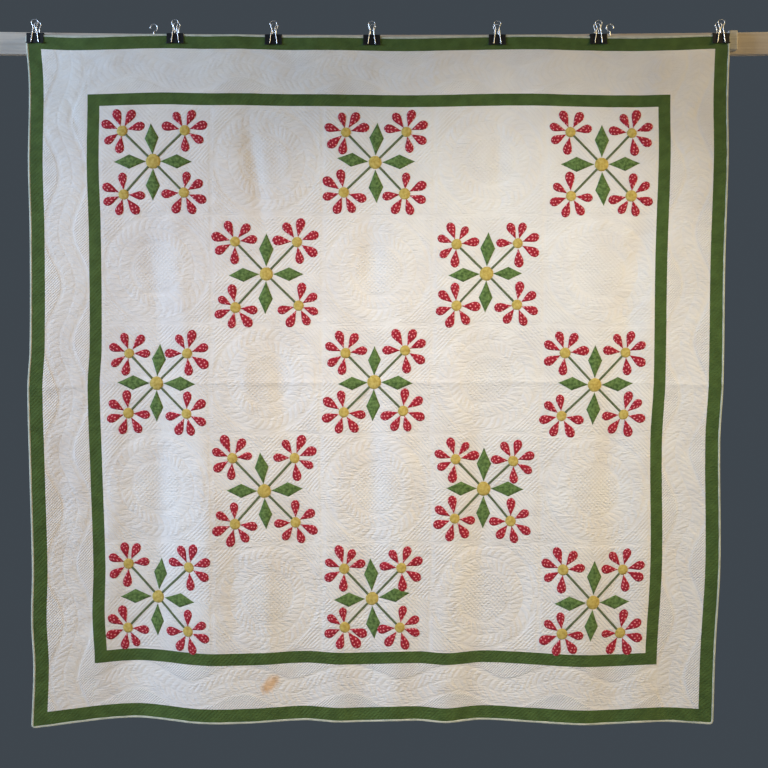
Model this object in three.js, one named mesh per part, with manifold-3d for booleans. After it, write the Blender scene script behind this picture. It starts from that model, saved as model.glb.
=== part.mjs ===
// A red and green applique quilt, hung by seven spring clips from a wooden lath that hangs on a wall rail.
// Millimetres, +Z up. The wall is the plane Y = 0, and the quilt's face looks along -Y.
// The origin is the middle of the rail's back face. Distances named "off" are measured out from the wall.
import * as THREE from 'three';
import { mergeVertices } from 'three/addons/utils/BufferGeometryUtils.js';
import Module from 'manifold-3d';

// The quilt as it was cut, laid flat
const QUILT_WIDTH = 2125;
const QUILT_LENGTH = 2070;
const QUILT_THICK = 4.2;
const BINDING_WIDTH = 6.5;
const BINDING_THICK = 5.2;
const OUTER_STRIP = 38;
const INNER_STRIP = 36;
const WHITE_BORDER = { left: 132, right: 130, top: 133, bottom: 130 };
const BLOCKS = 5;
const SEAM_GAP = 0.3;

// The quilted relief on the face: heights in millimetres, reaches and places as shares of a block
const FLOWER_RISE = 1.8;
const FLOWER_REACH = 0.14;
const FLOWER_SHARE = 0.28;
const CENTRE_RISE = 1.1;
const CENTRE_REACH = 0.12;
const WREATH_RISE = 1.6;
const WREATH_SHARE = 0.33;
const WREATH_REACH = 0.09;
const SEAM_DIP = 1.1;
const SEAM_REACH = 0.05;

// The feathered quilting of the white borders, and the line where the quilt lay folded, in millimetres
const FEATHER_RISE = 1.3;
const FEATHER_SWELL = 0.35;
const FEATHER_PITCH = 165;
const FOLD_LINE_DIP = 1.8;
const FOLD_LINE_REACH = 24;

// Places in a block where the cloth has a line of points, as shares of the block
const ACROSS_SHARES = [0, 0.11, 0.22, 0.36, 0.5, 0.64, 0.78, 0.89];
const DOWN_SHARES = [0, 0.14, 0.28, 0.5, 0.72, 0.86];

// The wood: top is a bar's height at its ends, sag how much lower its middle is
const RAIL = { left: -1190, right: 1190, top: 43.5, sag: 9.5, tall: 68, thick: 18 };
const LATH = { left: -1072, right: 1040.6, top: 28.5, sag: 5.5, tall: 57, thick: 16 };
const END_BLOCK = { wide: 26, top: 41, tall: 58 };
const BAR_STEPS = 24;

// The spring clips, two inches wide
const CLIP_WIDE = 51;
const CLIP_TALL = 32;
const CLIP_SHEET = 0.8;
const CLIP_CORNER = 2.4;
const BARREL = 4.2;
const BARREL_START = 12.8;
const ROUND_STEPS = 3;
const WIRE = 2.2;
const WIRE_SIDES = 5;
const HANDLE_STEPS = 18;
const CLEARANCE = 0.3;

// The screw hooks on the lath
const HOOK_WIRE = 3.2;
const HOOK_LOOP = 10.6;
const HOOK_SHANK = 15;
const HOOK_START = -80;
const HOOK_SWEEP = 270;
const HOOK_SIDES = 6;
const HOOK_STEPS = 22;
const HOOK_ARC_POINTS = 9;

// How the cloth hangs off the lath before the hem's waves take over
const LEAN_CLEAR = 2.2;
const LEAN_START = 31;
const LEAN_END = 45;
const SLACK_RISE = 3;
const SLACK_REACH = 330;
const CLIP_FLAT = 31;
const WAVES_START = 60;

// Clips from left to right: rise is how far a clip's spine stands above the lath
const CLIPS = [
  { across: -1051, rise: 3.1 },
  { across: -629, rise: 5.5 },
  { across: -333, rise: 3.1 },
  { across: -37, rise: 2.4 },
  { across: 341, rise: 2.7 },
  { across: 646, rise: 3.4 },
  { across: 1015, rise: 2.3 },
];

// Hooks: turn is the half turn about the shank that makes a loop open to the right
const HOOKS = [
  { name: 'screw_hook_left', across: -696, turn: 0 },
  { name: 'screw_hook_right', across: 683, turn: 180 },
];

// The wire of one handle, from a foot up to its loop: half its width, and height above the foot
const HANDLE = [
  { half: 11.4, up: -1 },
  { half: 9.6, up: 14 },
  { half: 7.2, up: 32 },
  { half: 5.2, up: 46 },
  { half: 8, up: 56 },
  { half: 10, up: 62 },
  { half: 6.6, up: 68 },
  { half: 0, up: 69.5 },
];

// The hung edges. at is the flat distance from the middle, down the flat distance from the top edge.
const TOP_EDGE = [
  { at: -1062, height: 28 },
  { at: -896, height: 21.5 },
  { at: -655, height: 28 },
  { at: -511, height: 25.5 },
  { at: -414, height: 26 },
  { at: -270, height: 22.5 },
  { at: -77, height: 21.5 },
  { at: 110, height: 18.5 },
  { at: 308, height: 23 },
  { at: 452, height: 24.5 },
  { at: 597, height: 21.5 },
  { at: 790, height: 19 },
  { at: 886, height: 21 },
  { at: 1000, height: 26 },
  { at: 1062, height: 28 },
];
const HEM = [
  { at: -1062, height: -2055, off: 70 },
  { at: -770, height: -2035, off: 30 },
  { at: -540, height: -2045, off: 60 },
  { at: -390, height: -2045, off: 55 },
  { at: -220, height: -2040, off: 40 },
  { at: -120, height: -2045, off: 45 },
  { at: -30, height: -2045, off: 40 },
  { at: 60, height: -2040, off: 50 },
  { at: 140, height: -2040, off: 45 },
  { at: 230, height: -2045, off: 50 },
  { at: 340, height: -2040, off: 35 },
  { at: 500, height: -2045, off: 45 },
  { at: 650, height: -2050, off: 55 },
  { at: 760, height: -2050, off: 45 },
  { at: 830, height: -2045, off: 50 },
  { at: 930, height: -2045, off: 40 },
  { at: 1062, height: -2050, off: 50 },
];
const LEFT_EDGE = [
  { down: 0, across: -1081 },
  { down: 150, across: -1069 },
  { down: 390, across: -1071 },
  { down: 590, across: -1065 },
  { down: 940, across: -1063 },
  { down: 1060, across: -1069 },
  { down: 1320, across: -1061 },
  { down: 1600, across: -1052 },
  { down: 1750, across: -1054 },
  { down: 1890, across: -1047 },
  { down: 2070, across: -1053 },
];
const RIGHT_EDGE = [
  { down: 0, across: 1043 },
  { down: 190, across: 1036 },
  { down: 370, across: 1037 },
  { down: 680, across: 1027 },
  { down: 1050, across: 1021 },
  { down: 1220, across: 1011 },
  { down: 1590, across: 1011 },
  { down: 1850, across: 996 },
  { down: 2070, across: 989 },
];

// Long soft folds: each runs from top to foot across the cloth while it comes and goes between two heights
const FOLDS = [
  { top: -660, foot: -690, from: 900, to: 2000, reach: 40, rise: -8 },
  { top: -540, foot: -520, from: 1000, to: 2000, reach: 40, rise: 6 },
  { top: -800, foot: -840, from: 900, to: 2000, reach: 35, rise: 4 },
  { top: -330, foot: -260, from: 800, to: 1300, reach: 35, rise: -7 },
  { top: -20, foot: -20, from: 450, to: 900, reach: 35, rise: -5 },
  { top: -10, foot: -10, from: 1000, to: 1650, reach: 35, rise: -6 },
  { top: 100, foot: 100, from: 1000, to: 1650, reach: 35, rise: 3 },
  { top: 310, foot: 330, from: 900, to: 2050, reach: 40, rise: -3 },
  { top: 600, foot: 610, from: 1100, to: 2000, reach: 50, rise: 4 },
  { top: 860, foot: 730, from: 300, to: 1150, reach: 40, rise: -6 },
  { top: 720, foot: 730, from: 900, to: 1750, reach: 40, rise: -5 },
  { top: -960, foot: -980, from: 900, to: 1900, reach: 35, rise: -4 },
  { top: -870, foot: -870, from: 1600, to: 2050, reach: 35, rise: 5 },
];

// Depths from the wall, each piece 0.3 mm from the next
const REAR_BARREL = RAIL.thick + CLEARANCE + BARREL / 2;
const LATH_BACK = RAIL.thick + CLEARANCE + BARREL + CLEARANCE;
const LATH_FACE = LATH_BACK + LATH.thick;
const CLOTH_AT_CLIPS = LATH_FACE + CLEARANCE + BINDING_THICK / 2;
const CLIP_MOUTH = CLOTH_AT_CLIPS + BINDING_THICK / 2 + CLEARANCE;
const FRONT_BARREL = CLIP_MOUTH + BARREL / 2;

// Flat lines where one cut piece meets the next
const EDGE = { left: -QUILT_WIDTH / 2, right: QUILT_WIDTH / 2, top: 0, bottom: QUILT_LENGTH };
const INWARD = { left: 1, right: -1, top: 1, bottom: -1 };
const seamAt = (side, inset) => EDGE[side] + INWARD[side] * inset;
const bandWidth = (side) => BINDING_WIDTH + OUTER_STRIP + WHITE_BORDER[side] + INNER_STRIP;
const eachSide = (measure) => Object.fromEntries(Object.keys(EDGE).map((side) => [side, measure(side)]));
const FIELD = eachSide((side) => seamAt(side, bandWidth(side)));
const BLOCK_WIDE = (FIELD.right - FIELD.left) / BLOCKS;
const BLOCK_TALL = (FIELD.bottom - FIELD.top) / BLOCKS;

const { clamp, lerp, smoothstep, degToRad } = THREE.MathUtils;
const bell = (distance, reach) => Math.exp(-((distance / reach) ** 2));

/** A smooth curve through a table's rows: each row's slope is that of the line between its neighbours. */
function through(rows, key, column, value) {
  const last = rows.length - 1;
  const place = clamp(value, rows[0][key], rows[last][key]);
  let i = 0;
  while (i < last - 1 && rows[i + 1][key] < place) i += 1;
  const slope = (k) => {
    const before = rows[Math.max(k - 1, 0)];
    const after = rows[Math.min(k + 1, last)];
    return (after[column] - before[column]) / (after[key] - before[key]);
  };
  const span = rows[i + 1][key] - rows[i][key];
  const t = (place - rows[i][key]) / span;
  const rest = 1 - t;
  return rows[i][column] * rest * rest * (1 + 2 * t) + rows[i + 1][column] * t * t * (3 - 2 * t)
    + span * t * rest * (slope(i) * rest - slope(i + 1) * t);
}

/** How far the cloth stands away from the lath between two clips, none at the clips themselves. */
function slackBetweenClips(at) {
  const last = CLIPS.length - 1;
  let slack = 0;
  for (let i = 0; i < last; i += 1) {
    const from = CLIPS[i].across + CLIP_FLAT;
    const to = CLIPS[i + 1].across - CLIP_FLAT;
    const t = clamp((at - from) / (to - from), 0, 1);
    slack += SLACK_RISE * Math.sin(Math.PI * t) ** 2;
  }
  return slack;
}

/** The height of one long fold at a flat place. */
function foldRise(fold, at, down) {
  const t = clamp((down - fold.from) / (fold.to - fold.from), 0, 1);
  return fold.rise * bell(at - lerp(fold.top, fold.foot, t), fold.reach) * Math.sin(Math.PI * t) ** 2;
}

/** X of a flat place: the border bands keep their widths, and the field takes up the rest. */
function acrossAt(at, down) {
  const left = through(LEFT_EDGE, 'down', 'across', down);
  const right = through(RIGHT_EDGE, 'down', 'across', down);
  if (at < FIELD.left) return left + (at - EDGE.left);
  if (at > FIELD.right) return right - (EDGE.right - at);
  const share = (at - FIELD.left) / (FIELD.right - FIELD.left);
  return lerp(left + bandWidth('left'), right - bandWidth('right'), share);
}

/** The distance of the cloth's middle from the wall: flat at the clips, waving at the hem. */
function offAt(at, down) {
  const across = acrossAt(at, down);
  const lean = LEAN_CLEAR * smoothstep(down, LEAN_START, LEAN_END);
  const slack = slackBetweenClips(across) * Math.exp(-down / SLACK_REACH);
  const waves = smoothstep(down, WAVES_START, QUILT_LENGTH);
  const folds = FOLDS.reduce((sum, fold) => sum + foldRise(fold, at, down), 0);
  return lerp(CLOTH_AT_CLIPS + lean + slack, through(HEM, 'at', 'off', at), waves) + folds;
}

/** A point in the middle of the hung cloth's thickness, from its place on the flat quilt. */
function hung(at, down) {
  const top = through(TOP_EDGE, 'at', 'height', at);
  const hem = through(HEM, 'at', 'height', at);
  return new THREE.Vector3(acrossAt(at, down), -offAt(at, down), lerp(top, hem, down / QUILT_LENGTH));
}

/** A point that stands some height in front of the cloth's middle, along the cloth's own normal. */
function hungAt(at, down, height) {
  const step = 1;
  const acrossWay = hung(at + step, down).sub(hung(at - step, down));
  const downWay = hung(at, down + step).sub(hung(at, down - step));
  const normal = downWay.cross(acrossWay).normalize();
  return hung(at, down).addScaledVector(normal, height);
}

/** The quilted relief of the field: flower mounds and wreaths in turn, with a dip along the seams. */
function fieldRelief(at, down) {
  const across = (at - FIELD.left) / BLOCK_WIDE;
  const along = (down - FIELD.top) / BLOCK_TALL;
  const column = clamp(Math.floor(across), 0, BLOCKS - 1);
  const row = clamp(Math.floor(along), 0, BLOCKS - 1);
  const u = across - column - 0.5;
  const v = along - row - 0.5;
  const centre = Math.hypot(u, v);
  const flower = Math.hypot(Math.abs(u) - FLOWER_SHARE, Math.abs(v) - FLOWER_SHARE);
  const raised = (column + row) % 2 === 0
    ? FLOWER_RISE * bell(flower, FLOWER_REACH) + CENTRE_RISE * bell(centre, CENTRE_REACH)
    : WREATH_RISE * bell(centre - WREATH_SHARE, WREATH_REACH);
  const seam = 0.5 - Math.max(Math.abs(u), Math.abs(v));
  return raised - SEAM_DIP * bell(seam, SEAM_REACH) - foldLine(down);
}

/** The line across the middle where the quilt lay folded. */
function foldLine(down) {
  return FOLD_LINE_DIP * bell(down - (FIELD.top + FIELD.bottom) / 2, FOLD_LINE_REACH);
}

/** The feathered quilting of a white border, which swells and narrows along the border. */
function featherRelief(along, acrossShare) {
  const swell = 1 - FEATHER_SWELL * (1 - Math.cos((2 * Math.PI * along) / FEATHER_PITCH));
  return FEATHER_RISE * swell * Math.sin(Math.PI * clamp(acrossShare, 0, 1));
}

/** The lines of points over one side of the flat quilt: the block lines, and one in each white border. */
function pointLines(low, high, shares) {
  const lines = [FIELD[high]];
  for (const side of [low, high]) {
    const strips = BINDING_WIDTH + OUTER_STRIP;
    lines.push(seamAt(side, BINDING_WIDTH), seamAt(side, strips));
    lines.push(seamAt(side, strips + WHITE_BORDER[side] / 2), seamAt(side, strips + WHITE_BORDER[side]));
  }
  for (let i = 0; i < BLOCKS; i += 1) {
    for (const share of shares) {
      lines.push(lerp(FIELD[low], FIELD[high], (i + share) / BLOCKS));
    }
  }
  return lines.sort((a, b) => a - b);
}
const ACROSS_LINES = pointLines('left', 'right', ACROSS_SHARES);
const DOWN_LINES = [LEAN_START, ...pointLines('top', 'bottom', DOWN_SHARES)].sort((a, b) => a - b);

/** The lines that cross one piece, with its own two edges half a seam gap inside its flat lines. */
function linesBetween(lines, from, to) {
  const margin = 1;
  const inner = lines.filter((line) => line > from + margin && line < to - margin);
  return [from + SEAM_GAP / 2, ...inner, to - SEAM_GAP / 2];
}

/** One cut piece of the quilt as a closed solid: a face with relief, a back, and walls along the seams. */
function clothSolid(piece) {
  const across = linesBetween(ACROSS_LINES, piece.left, piece.right);
  const down = linesBetween(DOWN_LINES, piece.top, piece.bottom);
  const positions = [];
  const index = [];
  const layer = (height) => down.map((y) => across.map((x) => {
    positions.push(...hungAt(x, y, height(x, y)));
    return positions.length / 3 - 1;
  }));
  const quad = (a, b, c, d) => index.push(a, b, c, a, c, d);
  const face = layer((x, y) => piece.thick / 2 + piece.relief(x, y));
  const back = layer(() => -piece.thick / 2);
  const right = across.length - 1;
  const bottom = down.length - 1;
  for (let j = 0; j < bottom; j += 1) {
    for (let i = 0; i < right; i += 1) {
      quad(face[j][i], face[j + 1][i], face[j + 1][i + 1], face[j][i + 1]);
      quad(back[j][i], back[j][i + 1], back[j + 1][i + 1], back[j + 1][i]);
    }
    quad(face[j][0], back[j][0], back[j + 1][0], face[j + 1][0]);
    quad(face[j + 1][right], back[j + 1][right], back[j][right], face[j][right]);
  }
  for (let i = 0; i < right; i += 1) {
    quad(face[0][i + 1], back[0][i + 1], back[0][i], face[0][i]);
    quad(face[bottom][i], back[bottom][i], back[bottom][i + 1], face[bottom][i + 1]);
  }
  const geometry = new THREE.BufferGeometry();
  geometry.setAttribute('position', new THREE.Float32BufferAttribute(positions, 3));
  geometry.setIndex(index);
  geometry.computeVertexNormals();
  return geometry;
}

/** The four pieces of one band round the quilt: the sides run full length, and the ends fit between them. */
function bandPieces(band, inset) {
  const outer = eachSide((side) => seamAt(side, inset[side]));
  const inner = eachSide((side) => seamAt(side, inset[side] + band.width(side)));
  const boxes = {
    left: { ...outer, right: inner.left },
    right: { ...outer, left: inner.right },
    top: { ...inner, top: outer.top, bottom: inner.top },
    bottom: { ...inner, top: inner.bottom, bottom: outer.bottom },
  };
  return Object.entries(boxes).map(([side, box]) => {
    const upright = side === 'left' || side === 'right';
    const relief = (at, down) => {
      const share = INWARD[side] * ((upright ? at : down) - outer[side]) / band.width(side);
      return band.relief(upright ? down : at, share) - (upright ? foldLine(down) : 0);
    };
    return { ...band, ...box, name: `${band.name}_${side}`, relief };
  });
}

/** A round wire along a path. */
function wireAlong(path, diameter, sides, steps) {
  const section = new THREE.Shape();
  for (let i = 0; i < sides; i += 1) {
    const angle = (2 * Math.PI * i) / sides;
    const [x, y] = [Math.cos(angle) * diameter / 2, Math.sin(angle) * diameter / 2];
    if (i === 0) section.moveTo(x, y);
    else section.lineTo(x, y);
  }
  section.closePath();
  return new THREE.ExtrudeGeometry(section, { steps, bevelEnabled: false, extrudePath: path });
}

/** A section in (off, height), carried along X from one place to another. */
function alongX(section, from, to) {
  const settings = { depth: to - from, bevelEnabled: false, curveSegments: ROUND_STEPS };
  const geometry = new THREE.ExtrudeGeometry(section, settings);
  const basis = new THREE.Matrix4().makeBasis(
    new THREE.Vector3(0, -1, 0), new THREE.Vector3(0, 0, 1), new THREE.Vector3(-1, 0, 0));
  return geometry.applyMatrix4(basis).translate(to, 0, 0);
}

const MERGE_WITHIN = 1e-4;
const wasm = await Module();
wasm.setup();

/** A closed geometry as a solid that can be joined to another. */
function solidOf(geometry) {
  const bare = geometry.clone();
  bare.deleteAttribute('normal');
  bare.deleteAttribute('uv');
  const merged = mergeVertices(bare, MERGE_WITHIN);
  return new wasm.Manifold(new wasm.Mesh({
    numProp: 3,
    vertProperties: new Float32Array(merged.attributes.position.array),
    triVerts: new Uint32Array(merged.index.array),
  }));
}

/** A joined solid as a geometry again. */
function geometryOf(solid) {
  const mesh = solid.getMesh();
  const geometry = new THREE.BufferGeometry();
  geometry.setAttribute('position', new THREE.Float32BufferAttribute(mesh.vertProperties, 3));
  geometry.setIndex(new THREE.Uint32BufferAttribute(mesh.triVerts, 1));
  geometry.computeVertexNormals();
  return geometry;
}

/** A clip's body about the middle of its spine: sheet bent over the lath, with barrels along its mouth. */
function clipBody() {
  const [rear, front] = [REAR_BARREL + BARREL / 2, CLIP_MOUTH];
  const [outRear, outFront] = [rear - CLIP_SHEET, front + CLIP_SHEET];
  const bend = new THREE.Shape();
  bend.moveTo(outRear, -CLIP_TALL);
  bend.lineTo(rear, -CLIP_TALL);
  bend.lineTo(rear, -CLIP_SHEET);
  bend.lineTo(front, -CLIP_SHEET);
  bend.lineTo(front, -CLIP_TALL);
  bend.lineTo(outFront, -CLIP_TALL);
  bend.lineTo(outFront, -CLIP_CORNER);
  bend.quadraticCurveTo(outFront, 0, outFront - CLIP_CORNER, 0);
  bend.lineTo(outRear + CLIP_CORNER, 0);
  bend.quadraticCurveTo(outRear, 0, outRear, -CLIP_CORNER);
  bend.closePath();
  let body = solidOf(alongX(bend, -CLIP_WIDE / 2, CLIP_WIDE / 2));
  for (const off of [REAR_BARREL, FRONT_BARREL]) {
    const round = new THREE.Shape().absarc(off, -CLIP_TALL + BARREL / 2, BARREL / 2, 0, 2 * Math.PI);
    for (const from of [-CLIP_WIDE / 2, BARREL_START]) {
      body = body.add(solidOf(alongX(round, from, from + CLIP_WIDE / 2 - BARREL_START)));
    }
  }
  return geometryOf(body);
}

/** A clip's wire handle, standing up from the barrels in front of the spine or behind it. */
function clipHandle(off) {
  const foot = -CLIP_TALL + BARREL / 2;
  const sideOf = (way) => HANDLE.map(({ half, up }) => new THREE.Vector3(way * half, -off, foot + up));
  const points = [...sideOf(1), ...sideOf(-1).slice(0, -1).reverse()];
  return wireAlong(new THREE.CatmullRomCurve3(points), WIRE, WIRE_SIDES, HANDLE_STEPS);
}

/** A screw hook on its foot: a short shank, then an open round loop in a plane along the wall. */
function screwHook() {
  const points = [new THREE.Vector3(0, 0, 0), new THREE.Vector3(0, 0, HOOK_SHANK / 2)];
  for (let i = 0; i <= HOOK_ARC_POINTS; i += 1) {
    const angle = degToRad(HOOK_START + (HOOK_SWEEP * i) / HOOK_ARC_POINTS);
    const [x, z] = [Math.cos(angle) * HOOK_LOOP, HOOK_SHANK + HOOK_LOOP + Math.sin(angle) * HOOK_LOOP];
    points.push(new THREE.Vector3(x, 0, z));
  }
  return wireAlong(new THREE.CatmullRomCurve3(points), HOOK_WIRE, HOOK_SIDES, HOOK_STEPS);
}

/** The height of a bar's top, which sags between its ends. */
function barTop(bar, across) {
  const middle = (bar.left + bar.right) / 2;
  const share = (across - middle) / ((bar.right - bar.left) / 2);
  return bar.top - bar.sag * (1 - share * share);
}
const lathTop = (across) => barTop(LATH, across);

/** A wooden bar: one section carried along its sagging length, with its back some way off the wall. */
function woodenBar(bar, back) {
  const outline = [];
  for (let i = 0; i <= BAR_STEPS; i += 1) {
    const across = lerp(bar.left, bar.right, i / BAR_STEPS);
    outline.push(new THREE.Vector2(across, barTop(bar, across)));
  }
  const under = outline.map((point) => new THREE.Vector2(point.x, point.y - bar.tall)).reverse();
  const side = new THREE.Shape([...outline, ...under]);
  const geometry = new THREE.ExtrudeGeometry(side, { depth: bar.thick, bevelEnabled: false });
  return geometry.rotateX(Math.PI / 2).translate(0, -back, 0);
}

/** The short upright block at the lath's right end, on the rail's face. */
function endBlock() {
  const back = RAIL.thick + CLEARANCE;
  const thick = LATH_FACE - back;
  const across = LATH.right + CLEARANCE + END_BLOCK.wide / 2;
  const geometry = new THREE.BoxGeometry(END_BLOCK.wide, thick, END_BLOCK.tall);
  return geometry.translate(across, -(back + thick / 2), END_BLOCK.top - END_BLOCK.tall / 2);
}

const finish = (color, roughness, metalness) => (
  new THREE.MeshStandardMaterial({ color, roughness, metalness }));
const WHITE_COTTON = finish('#d8d4cd', 0.95, 0);
const GREEN_COTTON = finish('#4a6a30', 0.95, 0);
const BINDING_COTTON = finish('#cdd0be', 0.95, 0);
const WOOD = finish('#a39a88', 0.8, 0);
const BLACK_ENAMEL = finish('#15161a', 0.4, 0.2);
const BRIGHT_WIRE = finish('#c4c8cc', 0.25, 1);

const quilt = new THREE.Group();
const hanging = new THREE.Group();
const part = new THREE.Group();
part.add(quilt, hanging);

function addPiece(group, name, geometry, material) {
  const mesh = new THREE.Mesh(geometry, material);
  mesh.name = name;
  group.add(mesh);
  return mesh;
}

const flat = () => 0;
const BANDS = [
  { name: 'binding', width: () => BINDING_WIDTH, thick: BINDING_THICK, material: BINDING_COTTON,
    relief: flat },
  { name: 'outer_strip', width: () => OUTER_STRIP, thick: QUILT_THICK, material: GREEN_COTTON, relief: flat },
  { name: 'white_border', width: (side) => WHITE_BORDER[side], thick: QUILT_THICK, material: WHITE_COTTON,
    relief: featherRelief },
  { name: 'inner_strip', width: () => INNER_STRIP, thick: QUILT_THICK, material: GREEN_COTTON, relief: flat },
];

// The quilt: its field of blocks, then the bands round it from the edge inward
const field = clothSolid({ ...FIELD, thick: QUILT_THICK, relief: fieldRelief });
addPiece(quilt, 'quilt_field', field, WHITE_COTTON);
let inset = eachSide(() => 0);
for (const band of BANDS) {
  for (const piece of bandPieces(band, inset)) {
    addPiece(quilt, piece.name, clothSolid(piece), piece.material);
  }
  const before = inset;
  inset = eachSide((side) => before[side] + band.width(side));
}

// The wood: the rail flat on the wall, the lath in front of it, and the block where the lath ends
addPiece(hanging, 'wall_rail', woodenBar(RAIL, 0), WOOD);
addPiece(hanging, 'hanging_lath', woodenBar(LATH, LATH_BACK), WOOD);
addPiece(hanging, 'end_block', endBlock(), WOOD);

// The clips, each a bent body with two wire handles, stand over the lath and the quilt's top edge
const body = clipBody();
const frontHandle = clipHandle(FRONT_BARREL);
const rearHandle = clipHandle(REAR_BARREL);
CLIPS.forEach(({ across, rise }, i) => {
  const clip = new THREE.Group();
  clip.position.set(across, 0, lathTop(across) + rise);
  addPiece(clip, `clip_${i + 1}_body`, body, BLACK_ENAMEL);
  addPiece(clip, `clip_${i + 1}_handle_front`, frontHandle, BRIGHT_WIRE);
  addPiece(clip, `clip_${i + 1}_handle_rear`, rearHandle, BRIGHT_WIRE);
  hanging.add(clip);
});

// The screw hooks stand on the lath's top
for (const { name, across, turn } of HOOKS) {
  const hook = addPiece(hanging, name, screwHook(), BRIGHT_WIRE);
  hook.position.set(across, -(LATH_BACK + LATH.thick / 2), lathTop(across) + CLEARANCE);
  hook.rotation.z = degToRad(turn);
}

export default part;
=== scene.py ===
# %% [markdown]
# # A flower applique quilt on its hanging rail
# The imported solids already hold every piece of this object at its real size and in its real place. What
# they lack is what a needle and a loom give: puffed quilting, sewn-on patches, printed dots, wood grain
# and bright wire. This lesson makes those as meshes worked out with numpy, in the same frame.
# Loading comes first, because every new piece is placed against the solids.

import bpy
import numpy as np
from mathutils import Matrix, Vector


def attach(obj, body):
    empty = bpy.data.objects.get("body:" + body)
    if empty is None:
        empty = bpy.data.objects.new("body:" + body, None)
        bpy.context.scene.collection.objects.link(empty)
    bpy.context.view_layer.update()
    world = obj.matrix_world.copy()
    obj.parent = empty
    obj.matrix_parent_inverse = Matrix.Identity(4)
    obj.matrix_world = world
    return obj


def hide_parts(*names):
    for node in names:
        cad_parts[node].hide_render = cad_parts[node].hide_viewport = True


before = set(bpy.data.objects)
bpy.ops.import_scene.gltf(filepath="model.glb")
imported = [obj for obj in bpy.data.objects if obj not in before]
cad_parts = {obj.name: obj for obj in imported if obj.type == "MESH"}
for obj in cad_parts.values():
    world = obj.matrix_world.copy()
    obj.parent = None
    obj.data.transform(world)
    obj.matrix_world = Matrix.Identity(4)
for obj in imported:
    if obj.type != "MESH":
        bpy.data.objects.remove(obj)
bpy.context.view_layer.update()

# %% [markdown]
# ## Camera and light
# The quilt hangs flat, so the camera looks straight at it from about three metres, level with its middle.
# The lens follows from how wide the picture is where the cloth hangs. Two spots shine down from above the
# rail, so their light grazes the lower rows most, and that is what makes quilting show. A cool lamp on the
# left and a warm one on the right tell the two sides of a fold apart, and a soft one lights the back.

# %% Camera
CAMERA_OFF = 3.145
CAMERA_HEIGHT = -1.0266
CLOTH_OFF = 0.045
PICTURE_WIDE = 2.3117
camera = bpy.data.cameras.new("camera")
camera.sensor_width = 36
camera.lens = camera.sensor_width * (CAMERA_OFF - CLOTH_OFF) / PICTURE_WIDE
camera_object = bpy.data.objects.new("camera", camera)
camera_object.location = (0, -CAMERA_OFF, CAMERA_HEIGHT)
camera_object.rotation_euler = (np.pi / 2, 0, 0)
bpy.context.collection.objects.link(camera_object)
bpy.context.scene.camera = camera_object
bpy.context.scene.view_settings.view_transform = "Standard"
print("lens", round(camera.lens, 2), "mm")

# %% Lights
MIDDLE = (0, 0, CAMERA_HEIGHT)
SPOT = {"spot_blend": 1, "shadow_soft_size": 0.08, "spot_size": np.radians(58)}
DIM_ROOM = (0.05, 0.062, 0.075, 1)


def add_light(name, kind, place, aim, power, colour, **settings):
    """A lamp that looks at a place and isn't seen itself; settings are the lamp's own, such as its size."""
    lamp = bpy.data.lights.new(name, kind)
    lamp.energy = power
    lamp.color = colour
    for key, value in settings.items():
        setattr(lamp, key, value)
    made = bpy.data.objects.new(name, lamp)
    made.location = place
    made.rotation_euler = (Vector(aim) - Vector(place)).to_track_quat("-Z", "Y").to_euler()
    made.visible_camera = False
    bpy.context.collection.objects.link(made)


add_light("key_light", "SPOT", (0.62, -1.97, 0.25), (0.35, 0, -1.17), 118, (1, 0.97, 0.9), **SPOT)
add_light("lower_light", "SPOT", (-0.83, -1.75, 0.95), (-0.46, 0, -1.98), 90, (1, 0.77, 0.6), **SPOT)
add_light("cool_light", "AREA", (-4.35, -1.4, 0.4), MIDDLE, 250, (0.56, 0.73, 1), size=1.2)
add_light("warm_light", "AREA", (4.45, -1.45, 1.2), MIDDLE, 160, (1, 0.74, 0.35), size=1.2)
add_light("back_light", "AREA", (0.6, 4.2, 0.6), MIDDLE, 120, (1, 0.97, 0.93), size=2.5)
world = bpy.data.worlds.new("world")
world.use_nodes = True
world.node_tree.nodes["Background"].inputs["Color"].default_value = DIM_ROOM
bpy.context.scene.world = world

# %% [markdown]
# ## Writing shader sums as Python
# A material is a graph of nodes, and a long sum is hard to read as a graph. The small class below wraps
# one socket, so that `1 - mask` or `height * 0.5` adds the Math node by itself. Colours go through a Mix
# node instead, because a Math node would turn them grey.


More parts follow.
